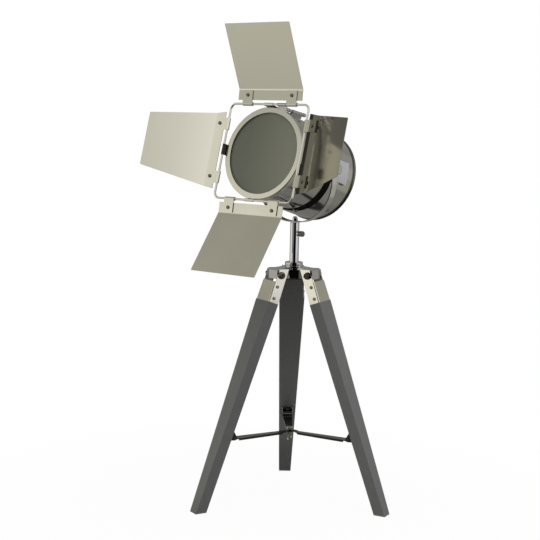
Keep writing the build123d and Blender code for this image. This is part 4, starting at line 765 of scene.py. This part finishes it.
# %% List the zones
WARM, NEUTRAL, COOL = (1.0, 0.985, 0.90), (1.0, 0.99, 0.96), (0.95, 0.945, 1.07)
ZONES = [
    # name, azimuth range, elevation range and softness in degrees, tint, strength
    ("everywhere", (-180, 180), (-90, 90), 1, NEUTRAL, 0.30),
    ("ceiling", (-180, 180), (50, 90), 8, NEUTRAL, 0.55),
    ("front_scrim", (-60, 60), (13, 60), 3, NEUTRAL, 0.80),
    ("left_high", (-134, -52), (36, 70), 4, WARM, 0.40),
    ("left_scrim", (-106, -52), (-9, 36), 4, WARM, 0.72),
    ("left_corner", (-126, -104), (9, 36), 4, WARM, 0.42),
    ("left_board", (-126, -50), (-9, 8), 2, NEUTRAL, 1.05),
    ("back_left", (-165, -125), (-9, 50), 3, WARM, 0.21),
    ("back", (160, 200), (-9, 50), 5, NEUTRAL, 0.27),
    ("back_right", (128, 160), (-9, 50), 4, NEUTRAL, 0.30),
    ("right_wall", (104, 130), (-9, 50), 6, NEUTRAL, 0.38),
    ("right_near", (84, 112), (-9, 50), 5, WARM, 0.50),
    ("right_scrim", (30, 86), (-9, 50), 3, COOL, 1.0),
    ("flag_edge", (-52, -24), (-6.2, 12), 1, WARM, 0.13),
    ("flag", (-24, 32), (-40, 12), 1, NEUTRAL, 0.003),
]
GROUND = [
    ("ground", (-180, 180), (-90, 0), 1, NEUTRAL, 0.22),
    ("ground_left", (-130, -55), (-60, 0), 6, WARM, 0.56),
    ("ground_front", (-60, 62), (-60, 0), 6, NEUTRAL, 0.12),
    ("ground_right", (62, 124), (-47, -24), 7, WARM, 0.27),
    ("ground_right_far", (62, 128), (-26, 0), 5, WARM, 0.42),
    ("ground_flag", (-24, 32), (-60, 0), 1, NEUTRAL, 0.003),
    ("table_edge", (108, 165), (-54, -51), 1, NEUTRAL, 0.03),
]


def inside(value, low, high, soft):
    """1 inside a range and 0 outside it, with smooth steps of that width at its ends.

    A smooth step of t is t^2 * (3 - 2t), with t cut to 0 and 1.
    """
    t = np.clip(np.minimum(value - low, high - value) / soft + 0.5, 0, 1)
    return t * t * (3 - 2 * t)


def painted(zones, azimuth, elevation):
    """The colour of each direction: zones laid over one another by their masks.

    A zone that goes all the way round has no edge in azimuth.
    """
    color = np.zeros(azimuth.shape + (3,))
    for _, azimuths, elevations, soft, shade, strength in zones:
        middle, half = np.mean(azimuths), np.ptp(azimuths) / 2
        aside = np.abs((azimuth - middle + 180) % 360 - 180)
        mask = inside(elevation, *elevations, soft)
        if half < 180:
            mask = mask * inside(aside, -half, half, soft)
        color += mask[..., None] * (np.array(shade) * strength - color)
    return color


print(len(ZONES), "zones on the dome,", len(GROUND), "on the ground")

# %% [markdown]
# ## The dome and the ground
#
# The zones are painted on two glowing skins. The dome stands 3 m round the lamp. The
# ground is a sheet just over the floor that metal mirrors in place of a table top, and
# it runs out to where it meets the dome, so that no gap lets the white of the world in.
# The camera sees neither. The ground doesn't light matt surfaces and casts no shadow,
# because the floor under it already bounces the light. A painted image on the world
# would do much the same, but a mesh's colours are worked out here, without any file.

# %% Build the dome and the ground
STUDIO_CENTRE = np.array([0.04, 0.03, 0.45])
STUDIO_RADIUS = 3.0
GROUND_HEIGHT = 0.002
LOWEST, MEETING, HIGHEST = -80, -8.6, 88
AZIMUTH_POINTS, DOME_POINTS, GROUND_POINTS = 181, 97, 73


def glowing(name):
    """A material that shines in the colours of the mesh's attribute "paint"."""
    made = bpy.data.materials.new(name)
    made.use_nodes = True
    tree = made.node_tree
    tree.nodes.clear()
    paint = node(tree, "ShaderNodeAttribute", (-1, 0))
    paint.attribute_name = "paint"
    light = node(tree, "ShaderNodeEmission", (0, 0), Strength=1.0)
    output = node(tree, "ShaderNodeOutputMaterial", (1, 0))
    wire(tree, (paint.outputs["Color"], light.inputs["Color"]),
         (light.outputs["Emission"], output.inputs["Surface"]))
    return made


def backdrop(name, zones, azimuth, elevation, distance):
    """A surface round the studio that glows in the painted colours.

    A point lies at the studio's centre plus the distance along its direction, which is
    (sin a cos e, -cos a cos e, sin e) for azimuth a, seen from the camera's side, and
    elevation e.
    """
    a, e = np.radians(azimuth), np.radians(elevation)
    way = np.stack([np.sin(a) * np.cos(e), -np.cos(a) * np.cos(e), np.sin(e)], -1)
    points = STUDIO_CENTRE + distance[..., None] * way
    faces = quads(np.arange(azimuth.size).reshape(azimuth.shape))
    made = closed_mesh(name, points, faces.tolist(), glowing(name))
    colors = np.ones((azimuth.size, 4))
    colors[:, :3] = painted(zones, azimuth, elevation).reshape(-1, 3)
    layer = made.data.attributes.new("paint", "FLOAT_COLOR", "POINT")
    layer.data.foreach_set("color", colors.ravel())
    made.visible_camera = False
    return made


def directions(low, high, count):
    """Grids of azimuth, all the way round, and of elevation from low to high."""
    return np.meshgrid(np.linspace(-180, 180, AZIMUTH_POINTS), np.linspace(low, high, count),
                       indexing="ij")


azimuth, elevation = directions(MEETING, HIGHEST, DOME_POINTS)
dome = backdrop("dome", ZONES, azimuth, elevation, np.full_like(azimuth, STUDIO_RADIUS))
azimuth, elevation = directions(LOWEST, MEETING, GROUND_POINTS)
ground = backdrop("ground", GROUND, azimuth, elevation,
                  (STUDIO_CENTRE[2] - GROUND_HEIGHT) / -np.sin(np.radians(elevation)))
ground.visible_shadow = False
ground.visible_diffuse = False
print("dome:", len(dome.data.vertices), "points, ground:", len(ground.data.vertices))

# %% [markdown]
# ## The world
#
# Seen by the camera, in metal and through glass the room is white, and as a light it is
# kept low. A Light Path node tells the two apart, so a white background costs the lamp
# nothing.

# %% Make the world
WORLD_LIGHT, WORLD_WHITE = 0.30, 1.0


def room_rays(tree):
    """A value that is 1 for camera, glossy and transmission rays, and 0 for the rest."""
    rays = node(tree, "ShaderNodeLightPath", (-3, 2)).outputs
    seen = math_node(tree, "MAXIMUM", (-2, 2), rays["Is Camera Ray"], rays["Is Glossy Ray"])
    return math_node(tree, "MAXIMUM", (-1, 2), seen, rays["Is Transmission Ray"])


world = bpy.data.worlds.new("room")
bpy.context.scene.world = world
world.use_nodes = True
tree = world.node_tree
room = tree.nodes["Background"]
room.inputs["Color"].default_value = (1, 1, 1, 1)
strength = node(tree, "ShaderNodeMapRange", (0, 1), To_Min=WORLD_LIGHT, To_Max=WORLD_WHITE)
wire(tree, (room_rays(tree), strength.inputs["Value"]),
     (strength.outputs["Result"], room.inputs["Strength"]))
print("world:", world.name)

# %% [markdown]
# ## The floor
#
# The floor is a plain pale sheet. Close to the lamp it takes a faint, soft shadow, and
# further out its colour runs into the white of the room, so no horizon shows. That run
# is a share of plain white light, which grows with the distance from the lamp.

# %% Lay the floor
FLOOR_REACH = 12.0
FADE_START, FADE_END = 0.22, 0.6
WHITE_NEAR, WHITE_FAR = 0.965, 1.0

sheet = bpy.data.materials.new("floor_sheet")
sheet.use_nodes = True
tree = sheet.node_tree
tree.nodes.clear()
coords = node(tree, "ShaderNodeTexCoord", (-3, 0))
distance = node(tree, "ShaderNodeVectorMath", (-2, 0))
distance.operation = "LENGTH"
fade = node(tree, "ShaderNodeMapRange", (-1, 0), From_Min=FADE_START, From_Max=FADE_END,
            To_Min=WHITE_NEAR, To_Max=WHITE_FAR)
fade.interpolation_type = "SMOOTHSTEP"
matte = node(tree, "ShaderNodeBsdfDiffuse", (0, 0), Color=(0.80, 0.80, 0.78, 1))
white = node(tree, "ShaderNodeEmission", (0, -1), Color=(1, 1, 1, 1), Strength=1.0)
mixed = node(tree, "ShaderNodeMixShader", (1, 0))
output = node(tree, "ShaderNodeOutputMaterial", (2, 0))
wire(tree,
     (coords.outputs["Object"], distance.inputs[0]),
     (distance.outputs["Value"], fade.inputs["Value"]))
share = math_node(tree, "MULTIPLY", (0, 1), fade.outputs["Result"], room_rays(tree))
wire(tree,
     (share, mixed.inputs["Fac"]),
     (matte.outputs["BSDF"], mixed.inputs[1]),
     (white.outputs["Emission"], mixed.inputs[2]),
     (mixed.outputs["Shader"], output.inputs["Surface"]))
corners = np.array([(-1, -1, 0), (1, -1, 0), (1, 1, 0), (-1, 1, 0)]) * FLOOR_REACH
closed_mesh("floor", corners, [(0, 1, 2, 3)], sheet)
print("floor:", 2 * FLOOR_REACH, "m wide")

# %% [markdown]
# ## The overhead light
#
# One large area light over the lamp gives the painted legs and the floor their shading.
# It would show as a hard square in the chrome, so neither the camera nor metal sees it.

# %% Hang the light
LIGHT_PLACE, LIGHT_AIM = Vector((0.2, -0.3, 2.6)), Vector((0.04, 0.03, 0.3))
LIGHT_SIZE, LIGHT_POWER = 1.6, 14

light_data = bpy.data.lights.new("overhead", "AREA")
light_data.size = LIGHT_SIZE
light_data.energy = LIGHT_POWER
light = bpy.data.objects.new("overhead", light_data)
bpy.context.scene.collection.objects.link(light)
light.location = LIGHT_PLACE
light.rotation_mode = "QUATERNION"
light.rotation_quaternion = (LIGHT_AIM - LIGHT_PLACE).to_track_quat("-Z", "Y")
light.visible_camera = False
light.visible_glossy = False
scene = bpy.context.scene
scene.view_settings.view_transform = "Standard"
